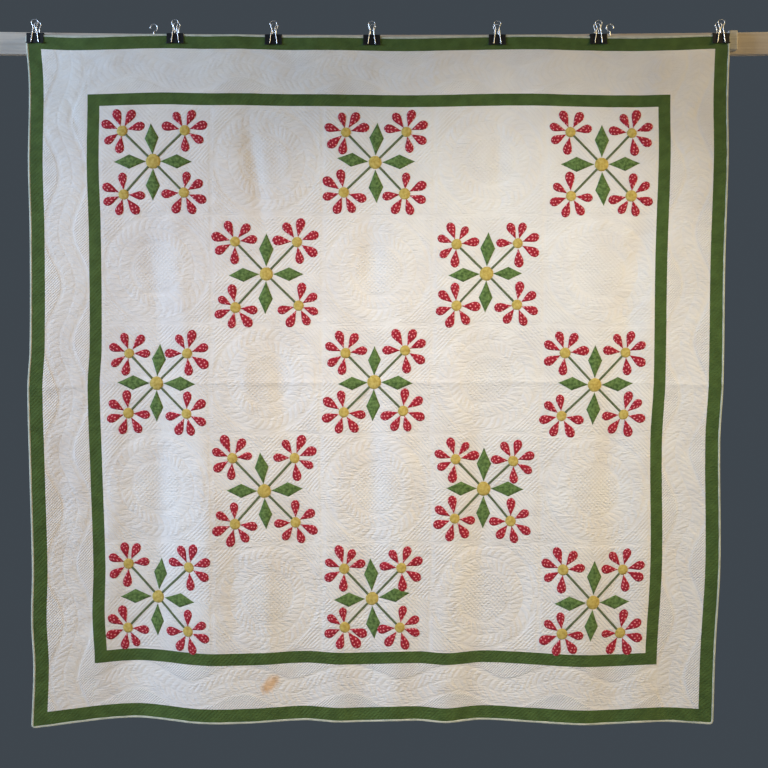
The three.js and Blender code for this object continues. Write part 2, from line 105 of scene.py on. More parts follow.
# %% A socket to reckon with
class Wire:
    """One socket of a material; sums of wires and numbers add Math nodes to that material."""

    def __init__(self, tree, socket=None):
        self.tree = tree
        self.socket = socket

    def node(self, kind, settings=(), sockets=(), output=0):
        """Adds a node: first its settings, then a value or a wire for each named or numbered socket."""
        made = self.tree.nodes.new(kind)
        for name, value in dict(settings).items():
            setattr(made, name, value)
        for key, value in dict(sockets).items():
            self.feed(made.inputs[key], value)
        return Wire(self.tree, made.outputs[output])

    def feed(self, socket, value):
        """Links a wire to a socket, or sets the socket's own value."""
        if isinstance(value, Wire):
            self.tree.links.new(value.socket, socket)
        else:
            socket.default_value = value

    def math(self, operation, *values):
        """A Math node on wires and numbers."""
        return self.node("ShaderNodeMath", {"operation": operation}, enumerate(values))

    def mix(self, share, first, second):
        """A colour between two others."""
        return self.node("ShaderNodeMix", {"data_type": "RGBA"}, {0: share, 6: first, 7: second}, output=2)

    def noise(self, vector, scale, detail=3, stretch=(1, 1, 1)):
        """Cloudy values about one half; stretch packs them closer along some axes."""
        placed = self.node("ShaderNodeMapping", {}, {"Vector": vector, "Scale": stretch})
        return self.node("ShaderNodeTexNoise", {}, {"Vector": placed, "Scale": scale, "Detail": detail})

    def step(self, low, high):
        """0 below low, 1 above high, and smooth between."""
        ends = {"Value": self, "From Min": low, "From Max": high}
        return self.node("ShaderNodeMapRange", {"interpolation_type": "SMOOTHSTEP"}, ends)

    def __add__(self, other):
        return self.math("ADD", self, other)

    def __radd__(self, other):
        return self.math("ADD", other, self)

    def __sub__(self, other):
        return self.math("SUBTRACT", self, other)

    def __rsub__(self, other):
        return self.math("SUBTRACT", other, self)

    def __mul__(self, other):
        return self.math("MULTIPLY", self, other)

    def __rmul__(self, other):
        return self.math("MULTIPLY", other, self)

    def __pow__(self, other):
        return self.math("POWER", self, other)

    def __abs__(self):
        return self.math("ABSOLUTE", self)


# %% Start and end of a finish
FINISHES = {}


def new_finish(name):
    """A new material with its Principled shader, and a wire to begin its sums from."""
    FINISHES[name] = bpy.data.materials.new(name)
    FINISHES[name].use_nodes = True
    return Wire(FINISHES[name].node_tree)


def set_shader(start, **sockets):
    """Feeds the Principled shader's sockets, named with _ for a space."""
    shader = start.tree.nodes["Principled BSDF"]
    for key, value in sockets.items():
        start.feed(shader.inputs[key.replace("_", " ")], value)


def tone(red, green, blue):
    """A colour as it looks on a screen, from 0 to 255, as the light that it sends back."""
    share = np.array([red, green, blue]) / 255
    light = np.where(share <= 0.04045, share / 12.92, ((share + 0.055) / 1.055) ** 2.4)
    return (*light.tolist(), 1.0)


print("finishes so far:", len(FINISHES))

# %% [markdown]
# ## Cotton cloth
# All the cloth here is plain woven cotton: matt, a little uneven in colour, with slubs where a thread
# runs thick. The quilting lines were sewn through a thin filling, so the cloth puffs up between them.
# The mesh carries two numbers that count the stitched lines as they are crossed. The shader takes the
# arch of a sine of each, which gives a sharp valley on each line however coarse the mesh is. Washing has
# shrunk the cloth a little between its stitches, and that crinkle is noise drawn out across the quilt. Its
# own weight pulls the cloth smooth, most of all at the top and the sides, so all relief grows from there.

# %% Cloth finishes
COTTON_ROUGH = 0.9
SLUBS = 950
SLUB_STRETCHES = ((1, 0.06, 1), (0.06, 1, 1))
ARCH_POWER = 0.8
LINE_DEPTH = 1.3
CRINKLE = 190
CRINKLE_STRETCH = (0.36, 1, 1)
CRINKLE_RISE = 5.2
CRINKLE_PATCHES = 14
# Painted shade: how dark the stitched valleys and the patch rims are painted, and the tone they darken to.
VALLEY_PAINTED_SHADE = 0.06
RIM_PAINTED_SHADE = 0.45
PAINTED_SHADE_SHARE = 0.55


def flat_place(start):
    """The place on the flat cloth in metres, from the piece's own UV map."""
    return start.node("ShaderNodeUVMap", {"uv_map": "flat"})


def number(start, name):
    """A number that the mesh carries at each of its points."""
    return start.node("ShaderNodeAttribute", {"attribute_name": name}, output="Fac")


def puffed(start):
    """How far the cloth stands up between the stitched lines, from 0 on a line to 1."""
    rise = number(start, "puff")
    for name in ("stitch_a", "stitch_b"):
        turns = number(start, name) * np.pi
        rise = rise * abs(turns.math("SINE", turns)) ** ARCH_POWER
    return rise


def slubs(start, flat):
    """Uneven threads along both ways of the weave."""
    ways = [start.noise(flat, SLUBS, 1, stretch) for stretch in SLUB_STRETCHES]
    return ways[0] + ways[1] - 1


def loosened(start, flat):
    """How free the cloth is to wrinkle: more and more down the quilt, and less towards both sides."""
    across = start.node("ShaderNodeSeparateXYZ", {}, {0: flat})
    drop = start.node("ShaderNodeSeparateXYZ", {}, {0: flat}, output="Y")
    by_drop = drop.step(-0.1, 0.5) * 0.4 + drop.step(0.3, 2) * 0.5 + 0.22
    by_side = across.step(-1.1, 0) * 0.4 - across.step(0.3, 1.1) * 0.27 + 0.42
    return by_drop * by_side


def crinkled(start, flat):
    """Fine wrinkles that run across the quilt, stronger in some patches than in others."""
    patches = start.noise(flat, CRINKLE_PATCHES, 1).step(0.1, 0.7)
    return (start.noise(flat, CRINKLE, 2, CRINKLE_STRETCH) - 0.5) * patches


def cotton(name, dark, light, blotch=9, kind="quilted", change=None):
    """A cotton finish: a mottled colour between two tones, over a woven surface. Quilted cloth is puffed,
    crinkled and has painted shade in the valleys along its lines, and a patch has painted shade along its
    turned-under rim."""
    start = new_finish(name)
    flat = flat_place(start)
    threads = slubs(start, flat)
    clouds = start.noise(flat, blotch, 5)
    colour = start.mix((clouds + threads * 0.25).step(0.3, 0.7), tone(*dark), tone(*light))
    height = threads * 0.06
    # deep is the painted shade colour, the dark tone made darker, for the stitched valleys and the patch rims.
    deep = tone(*(PAINTED_SHADE_SHARE * np.array(dark)))
    if kind == "quilted":
        rise = puffed(start)
        # Painted shade along the stitched lines, darkest in their valleys.
        colour = start.mix((1 - rise.step(0, 0.5)) * number(start, "puff") * VALLEY_PAINTED_SHADE, colour, deep)
        relief = rise * LINE_DEPTH + crinkled(start, flat) * CRINKLE_RISE
        height = height + relief * loosened(start, flat)
    if kind == "patch":
        # Painted shade along a patch's rim, strongest on the sunk ring.
        colour = start.mix((1 - number(start, "top")) * RIM_PAINTED_SHADE, colour, deep)
    if change:
        colour = change(start, flat, colour)
    bump = start.node("ShaderNodeBump", {}, {"Height": height, "Distance": 0.001})
    rough = COTTON_ROUGH + threads * 0.08
    set_shader(start, Base_Color=colour, Roughness=rough, Normal=bump, Specular_IOR_Level=0.2)
    set_shader(start, Sheen_Weight=0.12, Sheen_Roughness=0.5)


# %% The ground, with its stain
STAIN_AT = (-0.3305, 1.955)
STAIN_TURN = -0.75
STAIN_SIZE = (0.033, 0.02)


def aged(start, flat, colour):
    """Old white cotton: a fallen drip has left one tan spot in the lower border, browner at its ends."""
    place = {"Location": (*STAIN_AT, 0), "Rotation": (0, 0, STAIN_TURN), "Scale": (*STAIN_SIZE, 1)}
    spot = start.node("ShaderNodeMapping", {"vector_type": "TEXTURE"}, {"Vector": flat, **place})
    reach = start.node("ShaderNodeVectorMath", {"operation": "LENGTH"}, {0: spot}, output="Value")
    ragged = reach + start.noise(flat, 110) * 0.5 - 0.25
    along = abs(start.node("ShaderNodeSeparateXYZ", {}, {0: spot}))
    yellowed = start.mix(start.noise(flat, 2.2, 2).step(0.45, 0.75) * 0.15, colour, tone(222, 212, 192))
    peach = start.mix((1 - ragged.step(0.3, 1.4)) * 0.8, yellowed, tone(222, 178, 128))
    ends = (1 - ragged.step(0.5, 1.1)) * along.step(0.3, 0.75)
    return start.mix(ends * 0.55, peach, tone(158, 116, 74))


cotton("white_cotton", (219, 214, 208), (226, 222, 216), change=aged)
cotton("backing_cotton", (212, 204, 190), (226, 219, 206))
cotton("green_cotton", (63, 84, 37), (75, 98, 46), blotch=30)
cotton("leaf_cotton", (60, 84, 38), (108, 134, 74), blotch=110, kind="patch")
cotton("stem_cotton", (84, 94, 64), (102, 112, 80), blotch=60, kind="patch")
cotton("yellow_cotton", (172, 146, 66), (200, 178, 98), blotch=110, kind="patch")
cotton("binding_cotton", (172, 176, 158), (196, 198, 182), blotch=40, kind="plain")
print("cotton finishes:", sorted(FINISHES))

# %% The dotted red print
DOT_PITCH = 0.0105
DOT_RADIUS = 0.2


def dotted(start, flat, colour):
    """White spots on a square lattice: the distance from the middle of each cell, cut off at a radius."""
    cells = start.node("ShaderNodeVectorMath", {"operation": "SCALE"}, {0: flat, "Scale": 1 / DOT_PITCH})
    inside = start.node("ShaderNodeVectorMath", {"operation": "FRACTION"}, {0: cells})
    middle = start.node("ShaderNodeVectorMath", {"operation": "SUBTRACT"}, {0: inside, 1: (0.5, 0.5, 0)})
    reach = start.node("ShaderNodeVectorMath", {"operation": "LENGTH"}, {0: middle}, output="Value")
    return start.mix(1 - reach.step(DOT_RADIUS - 0.06, DOT_RADIUS + 0.06), colour, tone(224, 144, 146))


cotton("dotted_red", (142, 24, 38), (168, 34, 50), blotch=70, kind="patch", change=dotted)
print("red print: spots", round(2000 * DOT_RADIUS * DOT_PITCH, 1), "mm across")

# %% [markdown]
# ## The cloth as it hangs
# Every place on the quilt is named by its place on the flat quilt: `at` is millimetres from the middle,
# `down` is millimetres from the top edge. One function turns that into a point in the room. It repeats the
# tables that the solids were made from, so the fine cloth lies on the same folds. A simulation would give
# folds of its own, and these have to be the ones that are there, so they are given one by one.

# %% The quilt laid flat, in millimetres
MM = 0.001
QUILT_WIDTH = 2125
QUILT_LENGTH = 2070
CLOTH_THICK = 4.2
BINDING_WIDTH = 6.5
BINDING_THICK = 5.2
OUTER_STRIP = 38
INNER_STRIP = 36
WHITE_BORDER = {"left": 132, "right": 130, "top": 133, "bottom": 130}
BLOCKS = 5
SEAM_GAP = 0.02
EDGE = {"left": -QUILT_WIDTH / 2, "right": QUILT_WIDTH / 2, "top": 0, "bottom": QUILT_LENGTH}
INWARD = {"left": 1, "right": -1, "top": 1, "bottom": -1}


def seam_line(side, inset):
    """The flat line some way in from one edge of the quilt."""
    return EDGE[side] + INWARD[side] * inset


BANDS_WIDE = {side: BINDING_WIDTH + OUTER_STRIP + WHITE_BORDER[side] + INNER_STRIP for side in EDGE}
FIELD = {side: seam_line(side, BANDS_WIDE[side]) for side in EDGE}
BLOCK_WIDE = (FIELD["right"] - FIELD["left"]) / BLOCKS
BLOCK_TALL = (FIELD["bottom"] - FIELD["top"]) / BLOCKS
print("a block is", BLOCK_WIDE, "by", BLOCK_TALL, "mm")

# %% Tables of the hung edges and folds
TOP_EDGE = np.array([  # at, height
    (-1062, 28), (-896, 21.5), (-655, 28), (-511, 25.5), (-414, 26), (-270, 22.5), (-77, 21.5), (110, 18.5),
    (308, 23), (452, 24.5), (597, 21.5), (790, 19), (886, 21), (1000, 26), (1062, 28)])
HEM = np.array([  # at, height, distance off the wall
    (-1062, -2055, 70), (-770, -2035, 30), (-540, -2045, 60), (-390, -2045, 55), (-220, -2040, 40),
    (-120, -2045, 45), (-30, -2045, 40), (60, -2040, 50), (140, -2040, 45), (230, -2045, 50),
    (340, -2040, 35), (500, -2045, 45), (650, -2050, 55), (760, -2050, 45), (830, -2045, 50),
    (930, -2045, 40), (1062, -2050, 50)])
LEFT_EDGE = np.array([  # down, across
    (0, -1081), (150, -1069), (390, -1071), (590, -1065), (940, -1063), (1060, -1069), (1320, -1061),
    (1600, -1052), (1750, -1054), (1890, -1047), (2070, -1053)])
RIGHT_EDGE = np.array([  # down, across
    (0, 1043), (190, 1036), (370, 1037), (680, 1027), (1050, 1021), (1220, 1011), (1590, 1011),
    (1850, 996), (2070, 989)])
FOLDS = np.array([  # at its top, at its foot, from, to, reach, rise
    (-660, -690, 900, 2000, 40, -8), (-540, -520, 1000, 2000, 40, 6), (-800, -840, 900, 2000, 35, 4),
    (-330, -260, 800, 1300, 35, -7), (-20, -20, 450, 900, 35, -5), (-10, -10, 1000, 1650, 35, -6),
    (100, 100, 1000, 1650, 35, 3), (310, 330, 900, 2050, 40, -3), (600, 610, 1100, 2000, 50, 4),
    (860, 730, 300, 1150, 40, -6), (720, 730, 900, 1750, 40, -5), (-960, -980, 900, 1900, 35, -4),
    (-870, -870, 1600, 2050, 35, 5)])
NARROW_FOLDS = np.array([  # the same, for folds narrower than the solids' points can show
    (-720, -650, 450, 1100, 30, -4), (-640, -570, 450, 1100, 30, 4), (-440, -440, 1450, 1950, 30, -5),
    (-350, -330, 1450, 2000, 30, 5), (-410, -390, 850, 1250, 30, 4), (-210, -180, 850, 1250, 30, 3),
    (-410, -340, 150, 650, 25, -5), (-300, -250, 200, 600, 25, 2), (370, 370, 150, 600, 25, -3),
    (450, 470, 1450, 2000, 30, -4)])
CLIPS = np.array([  # across, height of its spine above the lath
    (-1051, 3.1), (-629, 5.5), (-333, 3.1), (-37, 2.4), (341, 2.7), (646, 3.4), (1015, 2.3)])
print("folds:", len(FOLDS) + len(NARROW_FOLDS), "clips:", len(CLIPS))

# %% Depths from the wall, each piece a little clear of the next
CLEARANCE = 0.3
RAIL_THICK = 18
LATH_THICK = 16
BARREL = 4.2
REAR_BARREL = RAIL_THICK + CLEARANCE + BARREL / 2
LATH_BACK = RAIL_THICK + CLEARANCE + BARREL + CLEARANCE
LATH_FACE = LATH_BACK + LATH_THICK
CLOTH_AT_CLIPS = LATH_FACE + CLEARANCE + BINDING_THICK / 2
CLIP_MOUTH = CLOTH_AT_CLIPS + BINDING_THICK / 2 + CLEARANCE
FRONT_BARREL = CLIP_MOUTH + BARREL / 2
print("the cloth hangs", CLOTH_AT_CLIPS, "mm off the wall at its clips")

# %% Curves through tables
CLIP_FLAT = 31
SLACK_RISE = 3
SLACK_REACH = 330
LEAN = (31, 45, 2.2)
WAVES_START = 60


def smooth(value, low, high):
    """0 below low, 1 above high, and smooth between."""
    t = np.clip((value - low) / (high - low), 0, 1)
    return t * t * (3 - 2 * t)


def bell(distance, reach):
    """1 in the middle, falling away as a bell on both sides."""
    return np.exp(-((distance / reach) ** 2))


def through(table, column, value):
    """A cubic between each two rows of a table; a row's slope is that of the line between its neighbours."""
    key, curve = table[:, 0], table[:, column]
    last = len(key) - 1
    rows = np.arange(last + 1)
    before, after = np.maximum(rows - 1, 0), np.minimum(rows + 1, last)
    slope = (curve[after] - curve[before]) / (key[after] - key[before])
    place = np.clip(value, key[0], key[last])
    i = np.clip(np.searchsorted(key, place) - 1, 0, last - 1)
    span = key[i + 1] - key[i]
    t = (place - key[i]) / span
    rest = 1 - t
    ends = curve[i] * rest * rest * (1 + 2 * t) + curve[i + 1] * t * t * (3 - 2 * t)
    return ends + span * t * rest * (slope[i] * rest - slope[i + 1] * t)


# %% From the flat quilt to the hung one
def slack(across):
    """How far the cloth stands away from the lath: a squared sine between each two clips."""
    start = CLIPS[:-1, 0] + CLIP_FLAT
    end = CLIPS[1:, 0] - CLIP_FLAT
    t = np.clip((across[..., None] - start) / (end - start), 0, 1)
    return SLACK_RISE * (np.sin(np.pi * t) ** 2).sum(axis=-1)


def folds(at, down):
    """Long soft folds: a bell across each, which comes and goes along it as a squared sine."""
    top, foot, start, end, reach, rise = np.concatenate([FOLDS, NARROW_FOLDS]).T
    t = np.clip((down[..., None] - start) / (end - start), 0, 1)
    middle = top + (foot - top) * t
    return (rise * bell(at[..., None] - middle, reach) * np.sin(np.pi * t) ** 2).sum(axis=-1)


def hung(at, down):
    """The middle of the cloth's thickness. Across: the side edges, with the bands at their own widths and
    the field between them. Off the wall: the lath and the slack at the top, turning into the hem's waves,
    plus the folds. Height: shared between the top edge and the hem."""
    left, right = through(LEFT_EDGE, 1, down), through(RIGHT_EDGE, 1, down)
    field_left, field_right = left + BANDS_WIDE["left"], right - BANDS_WIDE["right"]
    share = (at - FIELD["left"]) / (FIELD["right"] - FIELD["left"])
    across = field_left + (field_right - field_left) * share
    across = np.where(share < 0, left + at - EDGE["left"], across)
    across = np.where(share > 1, right + at - EDGE["right"], across)
    low, high, clear = LEAN
    upper = CLOTH_AT_CLIPS + clear * smooth(down, low, high) + slack(across) * np.exp(-down / SLACK_REACH)
    waves = smooth(down, WAVES_START, QUILT_LENGTH)
    off = upper + (through(HEM, 2, at) - upper) * waves + folds(at, down)
    top, hem = through(TOP_EDGE, 1, at), through(HEM, 1, at)
    return np.stack([across, -off, top + (hem - top) * down / QUILT_LENGTH], axis=-1)


def hung_at(at, down, height):
    """A point some height in front of the cloth's middle, along the cloth's own normal, in metres."""
    step = 1
    across_way = hung(at + step, down) - hung(at - step, down)
    down_way = hung(at, down + step) - hung(at, down - step)
    normal = np.cross(down_way, across_way)
    normal /= np.linalg.norm(normal, axis=-1, keepdims=True)
    return MM * (hung(at, down) + normal * height[..., None])


corner = hung(np.array([EDGE["left"]]), np.array([0.0]))
print("top left corner hangs at", np.round(corner[0]), "mm")

# %% [markdown]
# ## Quilting
# Four patterns are stitched here: slanting lines on the green strips, a feathered vine along the white
# borders, a feathered wreath in each plain block, and straight lines beside the stems of each flower motif.
# Each pattern is a pair of counts of stitched lines, a strength for the puff between them, and a broad
# mound under it. Counting lines keeps the four alike, so one function turns any of them into a height.
# A needle strays from the drawn line, so every pattern is read at places moved by a few seeded waves.

# %% Seeded waves
rng = np.random.default_rng(1861)


def seeded_waves(number, lengths):
    """Directions, turns for each millimetre and starts of some waves, drawn from the seeded numbers."""
    ways = rng.uniform(0, np.pi, number)
    turns = 2 * np.pi / rng.uniform(*lengths, number)
    starts = rng.uniform(0, 2 * np.pi, number)
    return ways, turns, starts


def wave_sum(waves, at, down):
    """Waves of random direction, length and start added up, as high as one wave for the most part."""
    total = np.zeros_like(at)
    for way, turns, start in zip(*waves):
        total += np.cos((at * np.cos(way) + down * np.sin(way)) * turns + start)
    return total / np.sqrt(len(waves[0]))


STRAY = 1.3
stray_across, stray_down = seeded_waves(12, (60, 240)), seeded_waves(12, (60, 240))


def strayed(at, down):
    """Flat places moved by as much as a hand-held needle strays."""
    return at + STRAY * wave_sum(stray_across, at, down), down + STRAY * wave_sum(stray_down, at, down)


# %% Lines and seams
LINE_PITCH = 9
LINE_RISE = 0.3
HALF_LINE = 0.5
SEAM_DIP = 0.06
SEAM_REACH = 4
SEAM_EASE = (0, 8)
BLOCK_SEAM = (3.5, 9)
STITCH_REACH = (4.2, 8)


def slanting(at, down, pitch=LINE_PITCH):
    """The count of lines that rise to the right at half a right angle."""
    return (at + down) / (np.sqrt(2) * pitch)


def arch(count):
    """The cloth between two stitched lines: the arch of a sine, with a valley on each whole number."""
    return np.abs(np.sin(np.pi * count)) ** ARCH_POWER


def strip_quilting(at, down):
    """Slanting lines all over a green strip."""
    count = slanting(at, down)
    return count, np.full_like(count, HALF_LINE), np.ones_like(count), np.zeros_like(count)


# %% The feathered vine of the white borders
VINE_WAVE = 335
VINE_SWING = 24
VINE_HALF = 38
FEATHER_PITCH = 19
FEATHER_LEAN = 1.3
FEATHER_RISE = 0.25
FEATHER_PUFF = 0.75
SPINE_REACH = (1, 5)
FILL_PITCH = 6
FILL_PUFF = 1.7


def feathered(along, away, half, lines, lines_puff):
    """Feathers on both sides of a spine, leaning along it, with stitched outlines. Beyond them are lines,
    given by their count and the strength of their puff."""
    share = np.abs(away) / half
    feathers = along / FEATHER_PITCH - FEATHER_LEAN * share ** 1.5
    inside = share < 1
    count = np.where(inside, feathers, lines)
    puff = smooth(np.abs(away), *SPINE_REACH) * smooth(np.abs(np.abs(away) - half), *STITCH_REACH)
    puff = puff * np.where(inside, FEATHER_PUFF, lines_puff)
    mound = FEATHER_RISE * np.clip(1 - share ** 4, 0, 1)
    return count, puff, mound


def border_quilting(along, middle, at, down):
    """A vine that swings from side to side of the border's middle, with fine slanting lines round it."""
    turn = 2 * np.pi * along / VINE_WAVE
    steep = VINE_SWING * 2 * np.pi / VINE_WAVE * np.cos(turn)
    away = (middle - VINE_SWING * np.sin(turn)) / np.hypot(1, steep)
    count, puff, mound = feathered(along, away, VINE_HALF, slanting(at, down, FILL_PITCH), FILL_PUFF)
    return count, np.full_like(count, HALF_LINE), puff, mound


# %% The feathered wreath of a plain block
WREATH_RADIUS = 118
WREATH_HALF = 40
WREATH_FEATHERS = 40
WREATH_LINES_PUFF = 0.95
WREATH_JOIN = (3.5, 7)


def plain_quilting(u, v):
    """A ring of feathers about the block's middle, crossing lines inside it, and round it lines that cut the
    corners. The feathers are counted round the ring, so a smooth gap hides where the count starts again."""
    radius, turn = np.hypot(u, v), np.arctan2(v, u)
    away = radius - WREATH_RADIUS
    along = turn / (2 * np.pi) * WREATH_FEATHERS * FEATHER_PITCH
    within = radius < WREATH_RADIUS - WREATH_HALF
    lines = np.where(within, slanting(u, v), slanting(np.abs(u), np.abs(v)))
    count, puff, mound = feathered(along, away, WREATH_HALF, lines, WREATH_LINES_PUFF)
    crossing = np.where(within, slanting(u, -v), HALF_LINE)
    closing = np.where((u < 0) & (np.abs(away) < WREATH_HALF), smooth(np.abs(v), *WREATH_JOIN), 1)
    return count, crossing, puff * closing, mound


print("wreath feathers are", round(2 * np.pi * WREATH_RADIUS / WREATH_FEATHERS, 1), "mm apart")

# %% [markdown]
# ## The flower motif
# Thirteen of the blocks carry the same motif, cut by eye and sewn by hand: a disc in the middle, four
# pointed leaves on the upright cross, and four stems on the slanting cross, each with a flower of six
# petals round a disc. The petals stand a seventh of a turn apart and the stem takes the seventh place.
# No two are quite alike, so small seeded shifts and turns loosen each one.

# %% Sizes of the motif
CENTRE_DISC = 21
FLOWER_DISC = 16
FLOWER_REACH = 94.5
PETAL = (13.5, 69.5, 14)
PETAL_STEP = 2 * np.pi / 7
PETALS = 6
LEAF = (20, 119, 22)
LEAF_MIDDLE = 0.53
STEM_WIDE = 7
MOTIFS = np.array([  # column, row, shift across, shift down, turn in degrees, reach
    (0, 0, -5, 7, -0.5, 1.01), (2, 0, -11, 3, 0.6, 0.98), (4, 0, -3, 8, -0.4, 0.99),
    (1, 1, -3.5, 13.5, -0.3, 1.02), (3, 1, -7, 13, 0, 0.99),
    (0, 2, 5.5, 18, -0.5, 0.97), (2, 2, -7, 7.5, -0.4, 0.96), (4, 2, -11.5, 13, -0.4, 1),
    (1, 3, -7.5, 8, 0, 1.02), (3, 3, -6, 4.5, 3.1, 0.945),
    (0, 4, -4, 5, 0.2, 1.03), (2, 4, -13.5, 2.5, -0.8, 0.94), (4, 4, -5, 7, -1.4, 1)])
CORNERS = np.array([(-1, -1), (1, -1), (1, 1), (-1, 1)])
AXES = np.array([(0, -1), (1, 0), (0, 1), (-1, 0)])
print("motifs:", len(MOTIFS))

# %% Places of flowers, petals and leaves
SEWN_SHIFT = 1.8
SEWN_TURN = 0.05
LEAF_SPREAD = 0.03
PETAL_SPREAD = 0.045


def turned(vectors, angle):
    """Plane vectors turned by an angle, towards down from at."""
    x, y = vectors[..., 0], vectors[..., 1]
    return np.stack([x * np.cos(angle) - y * np.sin(angle), x * np.sin(angle) + y * np.cos(angle)], axis=-1)


def angle_of(vectors):
    """The angle of plane vectors, from at towards down."""
    return np.arctan2(vectors[..., 1], vectors[..., 0])


block_middles = np.stack([FIELD["left"] + (MOTIFS[:, 0] + 0.5) * BLOCK_WIDE,
                          FIELD["top"] + (MOTIFS[:, 1] + 0.5) * BLOCK_TALL], axis=-1)
motif_middles = block_middles + MOTIFS[:, 2:4]
motif_turns = np.radians(MOTIFS[:, 4])[:, None]
count = len(MOTIFS)
flower_ways = turned(CORNERS * FLOWER_REACH * MOTIFS[:, 5, None, None], motif_turns)
flower_ways = flower_ways + rng.normal(0, SEWN_SHIFT, (count, 4, 2))
leaf_angles = angle_of(turned(np.broadcast_to(AXES, (count, 4, 2)), motif_turns))
leaf_angles = leaf_angles + rng.normal(0, SEWN_TURN, (count, 4))
leaf_sizes = 1 + rng.normal(0, LEAF_SPREAD, (count, 4))
petal_angles = angle_of(-flower_ways)[..., None] + PETAL_STEP * np.arange(1, PETALS + 1)
petal_angles = petal_angles + rng.normal(0, SEWN_TURN * 1.3, (count, 4, PETALS))
petal_sizes = 1 + rng.normal(0, PETAL_SPREAD, (count, 4, PETALS))
print("flowers:", flower_ways.shape[0] * 4, "petals:", petal_angles.size)

# %% Quilting round a motif
MOTIF_RISE = 0.5
MOTIF_MOUND = (-7, 2)
MOTIF_LINES = (0, 4)


def along_way(angle):
    """The plane vector that points along an angle."""
    return np.stack([np.cos(angle), np.sin(angle)], axis=-1)


def from_bar(places, start, end, start_half, end_half):
    """How far places lie outside a bar with round ends and a half width that changes along it."""
    way = end - start
    t = np.clip(((places - start) @ way) / (way @ way), 0, 1)
    away = np.linalg.norm(places - start - t[..., None] * way, axis=-1)
    return away - start_half - (end_half - start_half) * t


def from_motif(k, u, v):
    """How far places of motif k's block lie outside its patches: the least distance to any one of them."""
    places = np.stack([u, v], axis=-1) - (motif_middles[k] - block_middles[k])
    nearest = np.hypot(places[..., 0], places[..., 1]) - CENTRE_DISC
    middle = np.zeros(2)
    for f, flower in enumerate(flower_ways[k]):
        stem = from_bar(places, middle, flower, STEM_WIDE / 2, STEM_WIDE / 2)
        disc = np.linalg.norm(places - flower, axis=-1) - FLOWER_DISC
        nearest = np.minimum(nearest, np.minimum(stem, disc))
        for way in along_way(petal_angles[k, f]):
            tip = flower + way * (PETAL[1] - PETAL[2])
            nearest = np.minimum(nearest, from_bar(places, flower + way * PETAL[0], tip, 2, PETAL[2]))
    half_long = (LEAF[1] - LEAF[0]) / 2
    slope = half_long * LEAF[2] / np.hypot(half_long, LEAF[2])
    for way in along_way(leaf_angles[k]):
        beside = np.abs(places @ np.array([-way[1], way[0]]))
        along = np.abs(places @ way - (LEAF[0] + LEAF[1]) / 2)
        nearest = np.minimum(nearest, (along / half_long + beside / LEAF[2] - 1) * slope)
    return nearest


def flower_quilting(k, u, v):
    """Lines one pitch apart beside the stems, which meet in points along the leaves, round a soft mound under
    the patches."""
    away = from_motif(k, u, v)
    puff = smooth(away, *MOTIF_LINES)
    mound = MOTIF_RISE * (1 - smooth(away, *MOTIF_MOUND))
    places = turned(np.stack([u, v], axis=-1) - (motif_middles[k] - block_middles[k]), -motif_turns[k])
    count = np.abs(slanting(np.abs(places[..., 0]), -np.abs(places[..., 1])))
    return count, np.full_like(count, HALF_LINE), puff, mound


# %% The field's pattern, block by block
def field_quilting(at, down):
    """Motif and wreath blocks in turn, like a chessboard, each with a valley along its seams."""
    column = np.clip((at - FIELD["left"]) // BLOCK_WIDE, 0, BLOCKS - 1).astype(int)
    row = np.clip((down - FIELD["top"]) // BLOCK_TALL, 0, BLOCKS - 1).astype(int)
    u = at - FIELD["left"] - (column + 0.5) * BLOCK_WIDE
    v = down - FIELD["top"] - (row + 0.5) * BLOCK_TALL
    edge = np.minimum(BLOCK_WIDE / 2 - np.abs(u), BLOCK_TALL / 2 - np.abs(v))
    loose_at, loose_down = strayed(at, down)
    u, v = u + loose_at - at, v + loose_down - down
    pattern = np.zeros((4,) + at.shape)
    plain = (column + row) % 2 == 1
    pattern[:, plain] = plain_quilting(u[plain], v[plain])
    for k, (i, j) in enumerate(MOTIFS[:, :2]):
        here = (column == i) & (row == j)
        if here.any():
            pattern[:, here] = flower_quilting(k, u[here], v[here])
    pattern[2] *= smooth(edge, *BLOCK_SEAM)
    return pattern, edge


# %% [markdown]
# ## Creases and puckers
# The quilt has lain folded, and a fold line stands out straight across its middle, with fainter ones sunk
# above and below it and down the middle. Sewing through a filling also puckers cloth all over. The fold
# lines are soft troughs and ridges from a short table. The puckers are a few dozen seeded
# waves of random direction added up, which is cheap and has no visible repeat.

# %% Creases
CREASES = np.array([  # from at, from down, to at, to down, reach, depth (negative for a ridge)
    (-1060, 1062, -860, 1056, 9, -3), (-850, 1050, 850, 1044, 9, -3.2), (860, 1050, 1060, 1056, 9, -3),
    (-1060, 781, 1060, 785, 6, 0.7), (-560, 1548, 560, 1544, 4, 1.3), (2, 40, -8, 2060, 24, 0.6),
    (-330, 448, -290, 440, 9, -1.6), (-955, 170, -905, 310, 14, 2)])
CREASE_TIP = 3
CREASE_FADE = (-30, 60)
CREASE_WAVE = 61
PUCKER_RISE = 0.45
pucker_waves = seeded_waves(40, (24, 90))


def creases(at, down):
    """Troughs and ridges along straight lines, each a soft V across its line that fades at both ends."""
    depth = np.zeros_like(at)
    for x0, y0, x1, y1, reach, deep in CREASES:
        long = np.hypot(x1 - x0, y1 - y0)
        along = ((at - x0) * (x1 - x0) + (down - y0) * (y1 - y0)) / long
        beside = ((at - x0) * (y1 - y0) - (down - y0) * (x1 - x0)) / long
        fade = smooth(along, *CREASE_FADE) * smooth(long - along, *CREASE_FADE)
        uneven = 0.75 + 0.25 * np.sin(along / CREASE_WAVE + x0)
        depth += deep * np.exp((CREASE_TIP - np.hypot(beside, CREASE_TIP)) / reach) * fade * uneven
    return depth


def puckers(at, down):
    """Shallow bumps all over, stretched a little across, because the cloth hangs from its top edge."""
    return PUCKER_RISE * wave_sum(pucker_waves, 0.7 * at, down)


